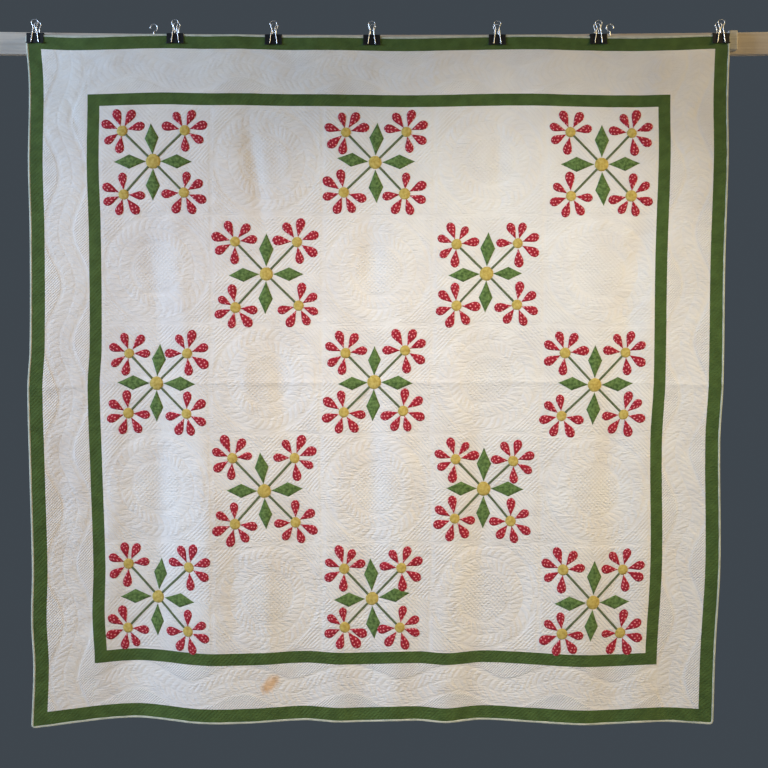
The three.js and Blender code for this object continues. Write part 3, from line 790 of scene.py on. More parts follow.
def raised(at, down, pattern, edge):
    """The height of the quilted face over the flat cloth, from a pattern and the distance from the seams."""
    count_a, count_b, puff, mound = pattern
    seam = bell(edge, SEAM_REACH)
    lines = LINE_RISE * (puff * arch(count_a) * arch(count_b) - 0.5)
    quilted = (lines + mound) * smooth(edge, *SEAM_EASE) - SEAM_DIP * seam
    return quilted + puckers(at, down) - creases(at, down)


sample = np.linspace(-1000, 1000, 4001)
print("puckers stand up to", round(float(puckers(sample, sample).max()), 2), "mm")

# %% [markdown]
# ## Cloth pieces
# A piece of patchwork is a grid: a fine face that carries the quilting, a back with a third of the points
# each way, and a narrow wall along the seams. The face and back are shaded smooth, and the edges where they
# meet the wall are marked sharp by their angle, or the seams would look rolled over. Each point also keeps
# its place on the flat cloth as a UV map, so that weave, print and stains lie in the cloth.

# %% Meshes from arrays
COARSER = 3
FACE_PITCH = 3.5
BLOCK_STEPS = 96
CRISP = np.radians(55)


def put_mesh(name, points, faces, finishes, kinds=None, flat=None, numbers=()):
    """A smooth mesh object from arrays, crisp where it bends by more than CRISP: points in metres, faces as a
    list of index arrays with one column per corner, kinds as one value for each face in the same order."""
    mesh = bpy.data.meshes.new(name)
    corners = np.concatenate([f.ravel() for f in faces]).astype(np.int32)
    sizes = np.concatenate([np.full(len(f), f.shape[1]) for f in faces])
    mesh.vertices.add(len(points))
    mesh.vertices.foreach_set("co", np.asarray(points, np.float32).ravel())
    mesh.loops.add(len(corners))
    mesh.loops.foreach_set("vertex_index", corners)
    mesh.polygons.add(len(sizes))
    mesh.polygons.foreach_set("loop_start", np.concatenate([[0], np.cumsum(sizes)[:-1]]).astype(np.int32))
    for finish in finishes:
        mesh.materials.append(FINISHES[finish])
    if kinds is not None:
        mesh.polygons.foreach_set("material_index", np.asarray(kinds, np.int32))
    mesh.polygons.foreach_set("use_smooth", np.ones(len(sizes), bool))
    if flat is not None:
        layer = mesh.uv_layers.new(name="flat")
        layer.data.foreach_set("uv", (MM * flat[corners]).astype(np.float32).ravel())
    for key, values in dict(numbers).items():
        mesh.attributes.new(key, "FLOAT", "POINT").data.foreach_set("value", values.astype(np.float32))
    mesh.update(calc_edges=True)
    mesh.validate()
    mesh.set_sharp_from_angle(angle=CRISP)
    made = bpy.data.objects.new(name, mesh)
    bpy.context.collection.objects.link(made)
    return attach(made, "root")


def stand_for(piece, slot, *nodes):
    """Hides the solids that a piece takes the place of; the piece itself and the material slot are not used.
    """
    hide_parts(*nodes)


# %% A grid's faces and walls
def stations(start, stop, steps=None):
    """Even steps of about the face's pitch, a whole number of the back's steps."""
    even = COARSER * max(1, round((stop - start) / (COARSER * FACE_PITCH)))
    return np.linspace(start + SEAM_GAP / 2, stop - SEAM_GAP / 2, (steps or even) + 1)


def grid_faces(numbers):
    """Quads over a grid of point numbers, facing the viewer when rows run down and columns to the right."""
    a, b = numbers[:-1, :-1], numbers[1:, :-1]
    c, d = numbers[1:, 1:], numbers[:-1, 1:]
    return np.stack([a, b, c, d], axis=-1).reshape(-1, 4)


def rim_of(numbers):
    """The four edges of a grid, each walked so that the grid lies on its left seen from the front."""
    return numbers[:, 0], numbers[-1, :], numbers[::-1, -1], numbers[0, ::-1]


def wall_faces(fine, coarse):
    """Triangles between an edge and one with a third of its steps: three on the fine one, one on the other."""
    f0, f1, f2, f3 = (fine[i:len(fine) - 1 + i // COARSER:COARSER] for i in range(4))
    b0, b1 = coarse[:-1], coarse[1:]
    triangles = [(f1, f0, b0), (f2, f1, b0), (b0, b1, f2), (f3, f2, b1)]
    return np.concatenate([np.stack(t, axis=-1) for t in triangles])


# %% One cut piece of the quilt
def cloth_piece(name, box, pattern_of, finish, steps=(None, None)):
    """A closed piece of quilted cloth over a flat box (left, right, top, bottom)."""
    left, right, top, bottom = box
    at, down = np.meshgrid(stations(left, right, steps[0]), stations(top, bottom, steps[1]))
    pattern, edge = pattern_of(at, down)
    height = CLOTH_THICK / 2 + raised(at, down, pattern, edge)
    back = np.s_[::COARSER, ::COARSER]
    behind = -CLOTH_THICK / 2 + 0.5 * SEAM_DIP * bell(edge[back], SEAM_REACH) - creases(at[back], down[back])
    points = [hung_at(at, down, height).reshape(-1, 3), hung_at(at[back], down[back], behind).reshape(-1, 3)]
    face_numbers = np.arange(at.size).reshape(at.shape)
    back_numbers = at.size + np.arange(at[back].size).reshape(at[back].shape)
    walls = [wall_faces(f, b) for f, b in zip(rim_of(face_numbers), rim_of(back_numbers))]
    face, rear = grid_faces(face_numbers), grid_faces(back_numbers)[:, ::-1]
    wall_count = sum(len(w) for w in walls)
    kinds = np.repeat([0, 1, 0], [len(face), len(rear), wall_count])

    def both(values):
        return np.concatenate([values.ravel(), values[back].ravel()])

    flat = np.stack([both(at), both(down)], axis=-1)
    numbers = {key: both(values) for key, values in zip(("stitch_a", "stitch_b", "puff"), pattern)}
    faces, finishes = [face, rear, *walls], [finish, "backing_cotton"]
    return put_mesh(name, np.concatenate(points), faces, finishes, kinds, flat, numbers)


# %% The five rows of blocks
rows = []
for j in range(BLOCKS):
    top = FIELD["top"] + j * BLOCK_TALL
    box = (FIELD["left"], FIELD["right"], top, top + BLOCK_TALL)
    steps = (BLOCKS * BLOCK_STEPS, BLOCK_STEPS)
    row_piece = cloth_piece(f"block_row_{j + 1}", box, field_quilting, "white_cotton", steps)
    stand_for(row_piece, "white_cotton", "quilt_field")
    rows.append(row_piece)
print("block rows:", [len(r.data.polygons) for r in rows], "faces")

# %% [markdown]
# ## Strips and borders
# Three bands frame the field: a narrow green strip, a wide white border and another green strip. The side
# pieces run the full length and the end pieces fit between them, as they were sewn. They use the same
# grid as the blocks, with the pattern of their own band.


# %% The three bands
def band_boxes(inset, widths):
    """The flat boxes of one band's four pieces, from how far in it starts and how wide it is on each side."""
    outer = {side: seam_line(side, inset[side]) for side in EDGE}
    inner = {side: seam_line(side, inset[side] + widths[side]) for side in EDGE}
    return {
        "left": (outer["left"], inner["left"], outer["top"], outer["bottom"]),
        "right": (inner["right"], outer["right"], outer["top"], outer["bottom"]),
        "top": (inner["left"], inner["right"], outer["top"], inner["top"]),
        "bottom": (inner["left"], inner["right"], inner["bottom"], outer["bottom"]),
    }


def band_pattern(box, band, upright):
    """The quilting of one band's piece, with the distance in from its edges."""
    left, right, top, bottom = box

    def pattern_of(at, down):
        edge = np.minimum(np.minimum(at - left, right - at), np.minimum(down - top, bottom - down))
        at, down = strayed(at, down)
        if band != "white_border":
            return strip_quilting(at, down), edge
        along = down if upright else at
        middle = at - (left + right) / 2 if upright else down - (top + bottom) / 2
        return border_quilting(along, middle, at, down), edge

    return pattern_of


BANDS = {
    "outer_strip": ("green_cotton", {side: OUTER_STRIP for side in EDGE}),
    "white_border": ("white_cotton", WHITE_BORDER),
    "inner_strip": ("green_cotton", {side: INNER_STRIP for side in EDGE}),
}
band_sizes = {}
inset = {side: BINDING_WIDTH for side in EDGE}
for band, (finish, widths) in BANDS.items():
    for side, box in band_boxes(inset, widths).items():
        name = f"{band}_{side}"
        piece = cloth_piece(f"{name}_cloth", box, band_pattern(box, band, side in ("left", "right")), finish)
        stand_for(piece, finish, name)
        band_sizes[name] = (piece, MM * (box[1] - box[0]), MM * (box[3] - box[2]))
    inset = {side: inset[side] + widths[side] for side in EDGE}
print("band pieces:", len(band_sizes))

# %% [markdown]
# ## The binding
# A folded strip closes the quilt's edge all round. It is a rounded section carried along a path, and the
# path is a rectangle on the flat quilt with small round corners. The section is laid out on the flat cloth
# and in its thickness, so the hung cloth's own function bends it round every fold. Tiny seeded swells give
# the unevenness of hand sewing.

# %% Binding round the edge
BINDING_STEP = 6
BINDING_SIDES = 14
CORNER_ROUND = 9
BINDING_SQUARE = 0.7
BINDING_PROUD = 0.15
BINDING_SWELL = 0.05


def rounded_rectangle(left, right, top, bottom, radius, step):
    """Places and outward directions along a rectangle with round corners, walked the way a clock turns."""
    bends = np.linspace(0, np.pi / 2, 7)
    turns = ((right - radius, top + radius, -np.pi / 2), (right - radius, bottom - radius, 0),
             (left + radius, bottom - radius, np.pi / 2), (left + radius, top + radius, np.pi))
    arcs = [np.column_stack([(x, y) + radius * along_way(start + bends), start + bends])
            for x, y, start in turns]
    path = []
    for arc, after in zip(arcs, arcs[1:] + arcs[:1]):
        steps = int(np.hypot(*(after[0, :2] - arc[-1, :2])) // step)
        straight = arc[-1] + np.linspace(0, 1, steps + 1)[1:-1, None] * (after[0] - arc[-1])
        straight[:, 2] = arc[-1, 2]
        path += [arc, straight]
    path = np.concatenate(path)
    return path[:, :2], along_way(path[:, 2])


def ring_faces(rings, sides, closed):
    """Quads of a tube made of rings of points, joined end to end if it is closed."""
    ring = np.arange(rings if closed else rings - 1)[:, None]
    side = np.arange(sides)[None, :]
    after, beside = (ring + 1) % rings, (side + 1) % sides
    corners = (ring * sides + side, ring * sides + beside, after * sides + beside, after * sides + side)
    return np.stack(np.broadcast_arrays(*corners), axis=-1).reshape(-1, 4)


inner_line = BINDING_WIDTH / 2
places, outward = rounded_rectangle(EDGE["left"] + inner_line, EDGE["right"] - inner_line, inner_line,
                                    QUILT_LENGTH - inner_line, CORNER_ROUND, BINDING_STEP)
turn = np.linspace(0, 2 * np.pi, BINDING_SIDES, endpoint=False)
across_share, thick_share = (np.sign(s) * np.abs(s) ** BINDING_SQUARE for s in (np.cos(turn), np.sin(turn)))
swell = 1 + BINDING_SWELL * wave_sum(pucker_waves, *(3 * places.T))[:, None]
flat = places[:, None, :] + outward[:, None, :] * (inner_line * across_share)[None, :, None]
height = (BINDING_THICK / 2 + BINDING_PROUD) * thick_share * swell
points = hung_at(flat[..., 0], flat[..., 1], height)
faces = ring_faces(len(places), BINDING_SIDES, True)
binding = put_mesh("binding_strip", points.reshape(-1, 3), [faces], ["binding_cotton"],
                   flat=flat.reshape(-1, 2))
stand_for(binding, "binding_cotton", "binding_left", "binding_right", "binding_top", "binding_bottom")
print("binding:", len(faces), "faces round", len(places), "places")

# %% [markdown]
# ## Applique patches
# Each patch was cut with a seam allowance, turned under and sewn down, so it stands a little proud of the
# ground with a rounded rim. A patch here is its outline drawn at three sizes round one middle point: the
# outermost ring is sunk in the ground, the next is the rim, and the rest is the gently crowned top. Every
# ring is laid on the quilted ground by the same functions as the cloth, so patches follow every fold.

# %% Sewing patches on
RING_SHARES = (1, 0.95, 0.62)
RING_LIFTS = (-0.5, 0.55, 0.95)
# How much of its colour each ring keeps; the rest of the rim's colour is painted shade.
RING_UNSHADED = (0.5, 0.8, 1)
TOP_LIFT = 1.05


def ground_height(at, down):
    """The height of the field's quilted face at flat places."""
    pattern, edge = field_quilting(at, down)
    return CLOTH_THICK / 2 + raised(at, down, pattern, edge)


def patch_faces(patches, sides):
    """For each patch: quads between its rings, a fan to its middle, and one face underneath."""
    i = np.arange(sides)
    after = (i + 1) % sides
    quads = [np.stack([r * sides + after, r * sides + i, (r + 1) * sides + i, (r + 1) * sides + after], -1)
             for r in range(len(RING_SHARES) - 1)]
    last = (len(RING_SHARES) - 1) * sides
    fan = np.stack([last + after, last + i, np.full(sides, last + sides)], -1)
    start = (last + sides + 1) * np.arange(patches)[:, None, None]
    shapes = (np.concatenate(quads)[None], fan[None], i[None, None])
    return [(shape + start).reshape(-1, shape.shape[-1]) for shape in shapes]


def patch_rings(outlines, middles):
    """Each outline drawn at its sizes round its middle, and then the middle itself."""
    middle = middles[:, None]
    return np.concatenate([*(middle + share * (outlines - middle) for share in RING_SHARES), middle], axis=1)


def sew_patches(name, outlines, middles, lift, finish, prints=None):
    """One object of many patches: outlines (patch, side, 2) and middles (patch, 2) in flat millimetres,
    walked the way a clock turns; prints are places on the printed cloth where they differ from those."""
    patches, sides = outlines.shape[:2]
    flat = patch_rings(outlines, middles)
    lifts = np.append(np.repeat(RING_LIFTS, sides), TOP_LIFT) + lift
    at, down = flat[..., 0], flat[..., 1]
    points = hung_at(at, down, ground_height(at, down) + lifts)
    faces = patch_faces(patches, sides)
    cloth = flat if prints is None else patch_rings(*prints)
    # The top number is 1 where a patch keeps its colour, and less on its rim, which takes painted shade.
    unshaded = {"top": np.tile(np.append(np.repeat(RING_UNSHADED, sides), 1), patches)}
    return put_mesh(name, points.reshape(-1, 3), faces, [finish], flat=cloth.reshape(-1, 2), numbers=unshaded)


# %% Outlines of petals, leaves, stems and discs
SIDE_STEPS = 10
OUTLINE_POINTS = 2 * SIDE_STEPS
PETAL_WIDEST = 0.72
ROUNDNESS = 0.55
LEAF_SPRING = 1.06
STEM_END = 0.2


def two_sided(along, half):
    """An outline from stations along an axis and the half width at each: out on one side and back."""
    out = np.stack([along, -half], axis=-1)
    home = np.stack([along, half], axis=-1)[-2:0:-1]
    return np.concatenate([out, home])


share = (1 - np.cos(np.pi * np.linspace(0, 1, SIDE_STEPS + 1))) / 2
bulge = np.sin(np.pi * share ** (np.log(0.5) / np.log(PETAL_WIDEST))) ** ROUNDNESS
petal_outline = two_sided(PETAL[0] + (PETAL[1] - PETAL[0]) * share, PETAL[2] * np.clip(bulge, 0, 1))
even = np.concatenate([np.linspace(0, LEAF_MIDDLE, 6), np.linspace(LEAF_MIDDLE, 1, 6)[1:]])
taper = np.where(even < LEAF_MIDDLE, even / LEAF_MIDDLE, (1 - even) / (1 - LEAF_MIDDLE))
leaf_outline = two_sided(LEAF[0] + (LEAF[1] - LEAF[0]) * even, LEAF[2] * taper ** LEAF_SPRING)
bar = np.linspace(0, 1, SIDE_STEPS + 1)
stem_half = np.where((bar == 0) | (bar == 1), STEM_END, 1) * STEM_WIDE / 2
stem_outline = two_sided(bar, stem_half)
disc_outline = along_way(np.linspace(0, 2 * np.pi, OUTLINE_POINTS, endpoint=False))
print("outline points:", len(petal_outline), len(leaf_outline), len(disc_outline))


# %% Patches for one row of blocks
PATCH_KINDS = {  # how far a patch lies above the ground, and its cloth
    "petals": (0.25, "dotted_red"),
    "leaves": (0.2, "leaf_cotton"),
    "stems": (0, "stem_cotton"),
    "discs": (0.5, "yellow_cotton"),
}
PETAL_HEART = PETAL[0] * 0.35 + PETAL[1] * 0.65
PRINT_SPREAD = 90
PRINT_TURN = 6.3
DISC_SPREAD = 0.03
DISC_WOBBLE = 0.018


def placed(outline, angles, middles, sizes):
    """An outline turned to each angle, scaled and moved to each middle."""
    scaled = outline * sizes[..., None, None]
    return turned(scaled, angles[..., None]) + middles[..., None, :]


def motif_patches(row):
    """The petals, leaves, stems and discs of one row of blocks, each kind as one object."""
    k = np.flatnonzero(MOTIFS[:, 1] == row)
    n = len(k)
    ways = flower_ways[k]
    flowers = motif_middles[k][:, None] + ways
    middles = np.broadcast_to(motif_middles[k][:, None], (n, 4, 2))

    def sewn(kind, outlines, hearts, prints=None):
        lines, points = outlines.reshape(-1, OUTLINE_POINTS, 2), hearts.reshape(-1, 2)
        return sew_patches(f"row_{row + 1}_{kind}", lines, points, *PATCH_KINDS[kind], prints)

    outlines = placed(petal_outline, petal_angles[k], flowers[:, :, None], petal_sizes[k])
    hearts = flowers[:, :, None] + along_way(petal_angles[k]) * PETAL_HEART
    cut_at = rng.uniform(0, PRINT_TURN, (n, 4, PETALS)), rng.uniform(0, PRINT_SPREAD, (n, 4, PETALS, 2))
    prints = placed(petal_outline, *cut_at, np.ones((n, 4, PETALS))).reshape(-1, OUTLINE_POINTS, 2)
    petals = sewn("petals", outlines, hearts, (prints, prints.mean(axis=1)))
    outlines = placed(leaf_outline, leaf_angles[k], middles, leaf_sizes[k])
    leaves = sewn("leaves", outlines, middles + along_way(leaf_angles[k]) * (LEAF[0] + LEAF[1]) / 2)
    length = np.linalg.norm(ways, axis=-1)
    outlines = stem_outline[None, None] * np.stack([length, np.ones_like(length)], -1)[:, :, None]
    outlines = turned(outlines, angle_of(ways)[..., None]) + middles[:, :, None]
    stems = sewn("stems", outlines, middles + ways / 2)
    hearts = np.concatenate([flowers, motif_middles[k][:, None]], axis=1).reshape(-1, 2)
    radius = np.tile([FLOWER_DISC] * 4 + [CENTRE_DISC], n) * (1 + rng.normal(0, DISC_SPREAD, 5 * n))
    wobble = 1 + rng.normal(0, DISC_WOBBLE, (5 * n, OUTLINE_POINTS))
    discs = sewn("discs", hearts[:, None] + disc_outline * (radius[:, None] * wobble)[..., None], hearts)
    return [petals, leaves, stems, discs]


row_patches = [motif_patches(row) for row in range(BLOCKS)]
print("patch faces:", sum(len(p.data.polygons) for pieces in row_patches for p in pieces))

# %% [markdown]
# ## Wood
# The rail and the lath are planed softwood gone grey: long grain, darker lines where a year's late wood
# was cut, and arrises that have been rubbed round. Each is a rounded rectangle carried along its length,
# and both paths sag a little. The grain is noise drawn out along the length, on Object coordinates.


# %% Wood finish
YEAR_RINGS = 46


def wood(name, dark, light, grain_start):
    """Softwood: fine and broad noise drawn out along X, with narrow dark lines, a little rough to touch."""
    start = new_finish(name)
    place = start.node("ShaderNodeTexCoord", output="Object")
    moved = start.node("ShaderNodeMapping", {}, {"Vector": place, "Location": grain_start})
    broad = start.noise(moved, 14, 4, (0.07, 1, 1))
    fine = start.noise(moved, 160, 3, (0.025, 1, 1))
    rings = start.math("SINE", broad * YEAR_RINGS) * 0.5 + 0.5
    late = rings.step(0.72, 1) * 0.12
    colour = start.mix((fine * 0.7 + broad * 0.5 - 0.1).step(0.25, 0.75), tone(*dark), tone(*light))
    colour = start.mix(late, colour, tone(*(0.72 * np.array(dark))))
    bump = start.node("ShaderNodeBump", {}, {"Height": fine * 0.4 - late * 0.3, "Distance": 0.0006})
    set_shader(start, Base_Color=colour, Roughness=0.62 + fine * 0.22, Normal=bump, Specular_IOR_Level=0.35)


wood("rail_wood", (172, 160, 146), (194, 184, 170), (0.3, 0.1, 0.2))
wood("lath_wood", (166, 162, 152), (190, 186, 176), (2.1, 0.4, 0.7))
print("wood finishes:", [name for name in FINISHES if "wood" in name])

# %% Rail, lath and end block: start, end, distance off the wall, thickness, height, top at the ends, sag
RAIL = (-1190, 1190, 0, RAIL_THICK, 68, 43.5, 9.5)
LATH = (-1072, 1040.6, LATH_BACK, LATH_THICK, 57, 28.5, 5.5)
BLOCK_START = LATH[1] + CLEARANCE
BLOCK_BACK = RAIL_THICK + CLEARANCE
END_BLOCK = (BLOCK_START, BLOCK_START + 26, BLOCK_BACK, LATH_FACE - BLOCK_BACK, 58, 41, 0)
ARRIS = 2.2
ARRIS_STEPS = 4
ARRIS_EASE = np.array([0, 0.3, 1])
BAR_STEPS = 120
BLOCK_BAR_STEPS = 6
PLANED_RISE = 0.15
PLANED_WAVE = 97


def bar_top(sizes, across):
    """The height of a bar's top edge, which sags between its ends as a parabola."""
    low, high, _, _, _, top, sag = sizes
    share = (across - (low + high) / 2) / ((high - low) / 2)
    return top - sag * (1 - share ** 2)


def end_caps(rings, sides):
    """One face over each end of an open tube."""
    first = np.arange(sides)[None]
    return np.concatenate([first[:, ::-1], first + (rings - 1) * sides])


def wooden_bar(name, sizes, steps, finish):
    """A rounded rectangle carried along X under its sagging top edge, with its ends rounded off."""
    start, end, back, thick, tall = sizes[:5]
    bend = np.linspace(0, np.pi / 2, ARRIS_STEPS)
    turns = np.concatenate([bend, bend + np.pi / 2, bend + np.pi, bend + 1.5 * np.pi])
    side = np.repeat([(1, 1), (-1, 1), (-1, -1), (1, -1)], ARRIS_STEPS, axis=0)
    between = np.linspace(start, end, steps + 1)[1:-1]
    across = np.concatenate([start + ARRIS * ARRIS_EASE, between, end - ARRIS * ARRIS_EASE[::-1]])
    tucked = np.ones(len(across)) * ARRIS
    tucked[[0, 1, -2, -1]] = [0.25 * ARRIS, 0.75 * ARRIS, 0.75 * ARRIS, 0.25 * ARRIS]
    inner = np.array([thick / 2 - ARRIS, tall / 2 - ARRIS])
    section = side * inner + tucked[:, None, None] * along_way(turns)
    uneven = PLANED_RISE * np.sin(across / PLANED_WAVE)
    off = -(back + thick / 2) - section[..., 0]
    up = (bar_top(sizes, across) - tall / 2 + uneven)[:, None] + section[..., 1]
    points = np.stack(np.broadcast_arrays(across[:, None], off, up), axis=-1)
    rings, sides = section.shape[:2]
    faces = [ring_faces(rings, sides, False), end_caps(rings, sides)]
    return put_mesh(name, MM * points.reshape(-1, 3), faces, [finish])


rail = wooden_bar("rail_bar", RAIL, BAR_STEPS, "rail_wood")
lath = wooden_bar("lath_bar", LATH, BAR_STEPS, "lath_wood")
block = wooden_bar("end_block_bar", END_BLOCK, BLOCK_BAR_STEPS, "lath_wood")
for piece, node in ((rail, "wall_rail"), (lath, "hanging_lath"), (block, "end_block")):
    stand_for(piece, "wood", node)
print("rail, lath and block:", [len(piece.data.polygons) for piece in (rail, lath, block)], "faces")

# %% [markdown]
# ## Spring clips and hooks
# A clip's body is one sheet of spring steel bent over the lath, with its two mouth edges rolled into
# barrels, and dipped in black enamel. Its handles are bent wire whose feet turn out into the barrels. The
# body is a bent line with a thickness, carried along X. Handles and hooks are round tubes along smooth
# paths that lie in one plane, so each ring of a tube needs no more than the path's own direction.


# %% Metal finishes
def metal(name, dark, light, metallic, rough, wear):
    """Smooth metal or enamel with faint smears, and a few rubbed specks where wear is more than nothing."""
    start = new_finish(name)
    place = start.node("ShaderNodeTexCoord", output="Object")
    smears = start.noise(place, 60, 4)
    specks = start.noise(place, 420, 2).step(0.68, 0.78) * wear
    colour = start.mix(smears, tone(*dark), tone(*light))
    colour = start.mix(specks, colour, tone(120, 118, 112))
    bump = start.node("ShaderNodeBump", {}, {"Height": smears - specks, "Distance": 0.0001})
    set_shader(start, Base_Color=colour, Roughness=rough + smears * 0.14, Metallic=metallic, Normal=bump)


metal("black_enamel", (9, 9, 11), (22, 22, 25), 0, 0.42, 0.3)
metal("bright_wire", (206, 208, 210), (232, 234, 236), 1, 0.3, 0)
print("finishes:", len(FINISHES))

# %% Tubes along paths in a plane
CLIP_WIDE = 51
CLIP_TALL = 32
SHEET = 0.8
BEND = 2.4
BARREL_START = 12.8
WIRE = 2.2
ROUND_SIDES = 12
END_SHARES = np.array([0.3, 0.75, 0.95])


def smooth_path(corners, steps):
    """A smooth line through corner points: a cubic through each coordinate against the distance walked."""
    walked = np.concatenate([[0], np.cumsum(np.linalg.norm(np.diff(corners, axis=0), axis=1))])
    at = np.linspace(0, walked[-1], steps)
    table = np.column_stack([walked, corners])
    return np.stack([through(table, i + 1, at) for i in range(corners.shape[1])], axis=-1)


def ways_along(path):
    """The direction of a path at each of its points, one unit long."""
    way = np.gradient(path, axis=0)
    return way / np.linalg.norm(way, axis=1, keepdims=True)


def tube(path, off, radius, sides=ROUND_SIDES):
    """Rings round a path in X and Z at one distance off the wall, with rounded ends: points and faces."""
    way = ways_along(path)
    reach = (np.sqrt(1 - END_SHARES ** 2) * radius)[:, None]
    middles = np.concatenate([path[0] - reach * way[0], path, path[-1] + reach[::-1] * way[-1]])
    extra = len(END_SHARES)
    ways = np.concatenate([np.repeat(way[:1], extra, 0), way, np.repeat(way[-1:], extra, 0)])
    radii = radius * np.concatenate([END_SHARES, np.ones(len(path)), END_SHARES[::-1]])
    turn = np.linspace(0, 2 * np.pi, sides, endpoint=False)
    beside = radii[:, None] * np.cos(turn)
    x = middles[:, :1] + beside * ways[:, 1:]
    z = middles[:, 1:] - beside * ways[:, :1]
    y = -off + radii[:, None] * np.sin(turn)
    points = np.stack([x, y, z], axis=-1).reshape(-1, 3)
    rings = len(middles)
    return points, [ring_faces(rings, sides, False), end_caps(rings, sides)]


def joined(shapes):
    """Several (points, faces) as one: each shape's faces count on from the points of those before it."""
    start = np.cumsum([0] + [len(points) for points, _ in shapes])
    faces = [f + n for (_, parts), n in zip(shapes, start) for f in parts]
    return np.concatenate([points for points, _ in shapes]), faces


# %% Clip bodies
def bent_sheet():
    """The clip's sheet: a line up one side of the lath, over it and down the other, given a thickness by
    moving it half the sheet to each side, and carried along X."""
    rear, front = REAR_BARREL + BARREL / 2 - SHEET / 2, CLIP_MOUTH + SHEET / 2
    bend = np.linspace(0, np.pi / 2, 6)
    radius = BEND - SHEET / 2
    over_front = np.stack([front - radius + radius * np.cos(bend), -BEND + radius * np.sin(bend)], -1)
    over_rear = np.stack([rear + radius - radius * np.sin(bend), -BEND + radius * np.cos(bend)], -1)
    line = np.concatenate([[(front, -CLIP_TALL + 1)], over_front, over_rear, [(rear, -CLIP_TALL + 1)]])
    way = ways_along(line)
    beside = np.stack([way[:, 1], -way[:, 0]], axis=-1) * SHEET / 2
    section = np.concatenate([line + beside, (line - beside)[::-1]])
    across = CLIP_WIDE / 2 * np.array([-1, -0.5, 0, 0.5, 1])
    points = np.stack(np.broadcast_arrays(across[:, None], -section[:, 0], section[:, 1]), axis=-1)
    sides, half = len(section), len(line)
    faces = ring_faces(len(across), sides, False)
    i = np.arange(half - 1)
    cap = np.stack([i, i + 1, sides - 2 - i, sides - 1 - i], axis=-1)
    caps = np.concatenate([cap, cap[:, ::-1] + (len(across) - 1) * sides])
    return points.reshape(-1, 3), [faces, caps]


def barrel(off, side):
    """One rolled barrel of a clip's mouth, on one side of its middle."""
    across = side * (BARREL_START + np.linspace(0.02, 0.98, 4) * (CLIP_WIDE / 2 - BARREL_START))
    path = np.stack([across, np.full_like(across, -CLIP_TALL + BARREL / 2)], axis=-1)
    return tube(path, off, BARREL / 2)


clip_shapes = [bent_sheet()] + [barrel(off, side) for off in (REAR_BARREL, FRONT_BARREL) for side in (-1, 1)]
clip_points, clip_faces = joined(clip_shapes)
print("a clip body has", len(clip_points), "points")

# %% Clip handles
HANDLE = np.array([  # half width, height above the foot
    (14.5, 0), (12.2, 0.2), (11.1, 2.6), (9.6, 14), (7.2, 32), (5.2, 46), (8, 56), (10, 62), (6.6, 68),
    (0, 69.5)])
HANDLE_STEPS = 90
handle_line = np.concatenate([HANDLE, HANDLE[-2::-1] * (-1, 1)]) + (0, -CLIP_TALL + BARREL / 2)
handle_path = smooth_path(handle_line, HANDLE_STEPS)
for i, (across, rise) in enumerate(CLIPS, start=1):
    place = np.array([across, 0, bar_top(LATH, across) + rise])
    body = put_mesh(f"clip_{i}_sheet", MM * (clip_points + place), clip_faces, ["black_enamel"])
    stand_for(body, "black_enamel", f"clip_{i}_body")
    for where, off in (("front", FRONT_BARREL), ("rear", REAR_BARREL)):
        points, faces = tube(handle_path, off, WIRE / 2)
        wire = put_mesh(f"clip_{i}_wire_{where}", MM * (points + place), faces, ["bright_wire"])
        stand_for(wire, "bright_wire", f"clip_{i}_handle_{where}")
print("clips:", len(CLIPS))

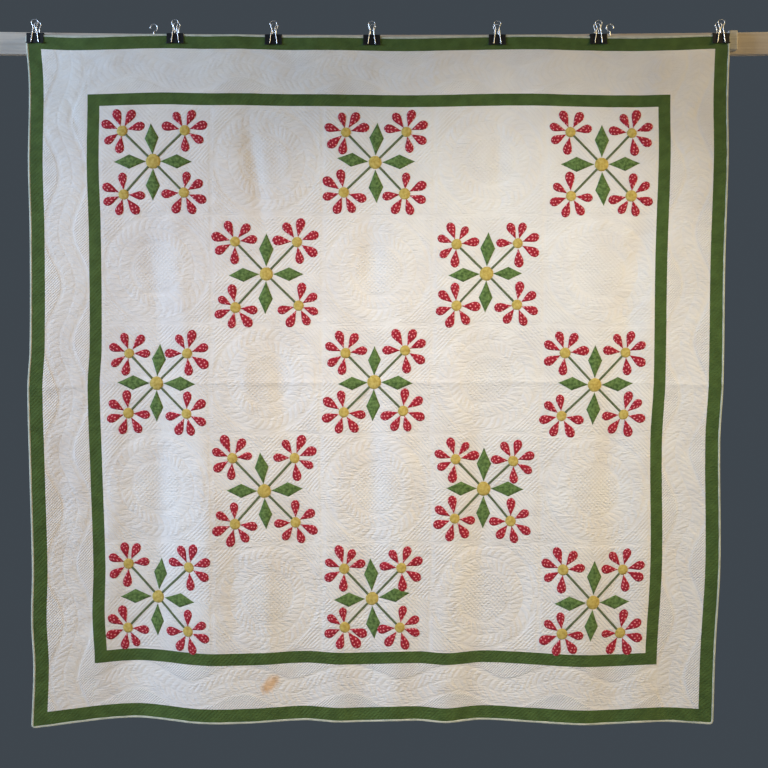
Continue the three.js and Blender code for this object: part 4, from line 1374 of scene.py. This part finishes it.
# %% Screw hooks
HOOKS = {"left": (-696, 1), "right": (683, -1)}
HOOK_WIRE = 3.2
HOOK_LOOP = 10.6
HOOK_SHANK = 15
HOOK_OFF = LATH_BACK + LATH_THICK / 2
HOOK_SWEEP = (-80, 190)
HOOK_STEPS = 70
HOOK_SIDES = 14
hook_turn = np.radians(np.linspace(*HOOK_SWEEP, 40))
hook_loop = HOOK_LOOP * along_way(hook_turn) + (0, HOOK_SHANK + HOOK_LOOP)
hook_line = np.concatenate([[(0, HOOK_WIRE / 2), (0, HOOK_SHANK / 2), (0.2, HOOK_SHANK - 1)], hook_loop[3:]])
hook_path = smooth_path(hook_line, HOOK_STEPS)
for side, (across, way) in HOOKS.items():
    points, faces = tube(hook_path * (way, 1), HOOK_OFF, HOOK_WIRE / 2, HOOK_SIDES)
    place = np.array([across, 0, bar_top(LATH, across) + CLEARANCE])
    hook = put_mesh(f"hook_{side}", MM * (points + place), faces, ["bright_wire"])
    stand_for(hook, "bright_wire", f"screw_hook_{side}")
print("hooks:", list(HOOKS))

# %% [markdown]
# ## Floor and the finish
# A pale floor stands in for a room. Then each piece of cloth's flat size and what it hangs from are worked
# out, because a sheet's flat size can't be read back from its folds, though neither is kept.

# %% Floor
FLOOR_HEIGHT = -2.36
start = new_finish("pale_floor")
grain = start.noise(start.node("ShaderNodeTexCoord", output="Object"), 6, 4)
set_shader(start, Base_Color=start.mix(grain, tone(206, 204, 200), tone(216, 214, 210)), Roughness=0.8)
floor_x, floor_y = np.meshgrid(np.linspace(-4, 4, 9), np.linspace(0.3, -4.4, 7))
floor_points = np.stack([floor_x, floor_y, np.full_like(floor_x, FLOOR_HEIGHT)], axis=-1)
floor_faces = grid_faces(np.arange(floor_x.size).reshape(floor_x.shape))
floor = put_mesh("floor", floor_points.reshape(-1, 3), [floor_faces], ["pale_floor"])

# %% What each piece of cloth was cut to
HANGS_FROM = {
    "outer_strip": "lath_bar",
    "white_border": "outer_strip_top_cloth",
    "inner_strip": "white_border_top_cloth",
}
for name, (piece, wide, long) in band_sizes.items():
    on = HANGS_FROM[name.rsplit("_", 1)[0]]
for j, (row_piece, patches) in enumerate(zip(rows, row_patches)):
    on = "inner_strip_top_cloth" if j == 0 else f"block_row_{j}"
    MM * BLOCK_WIDE * BLOCKS
    MM * BLOCK_TALL

# %% Sizes, and the end
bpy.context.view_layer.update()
shown = [o for o in bpy.data.objects if o.type == "MESH" and not o.hide_render]
print("triangles:", sum(len(p.vertices) - 2 for o in shown for p in o.data.polygons))
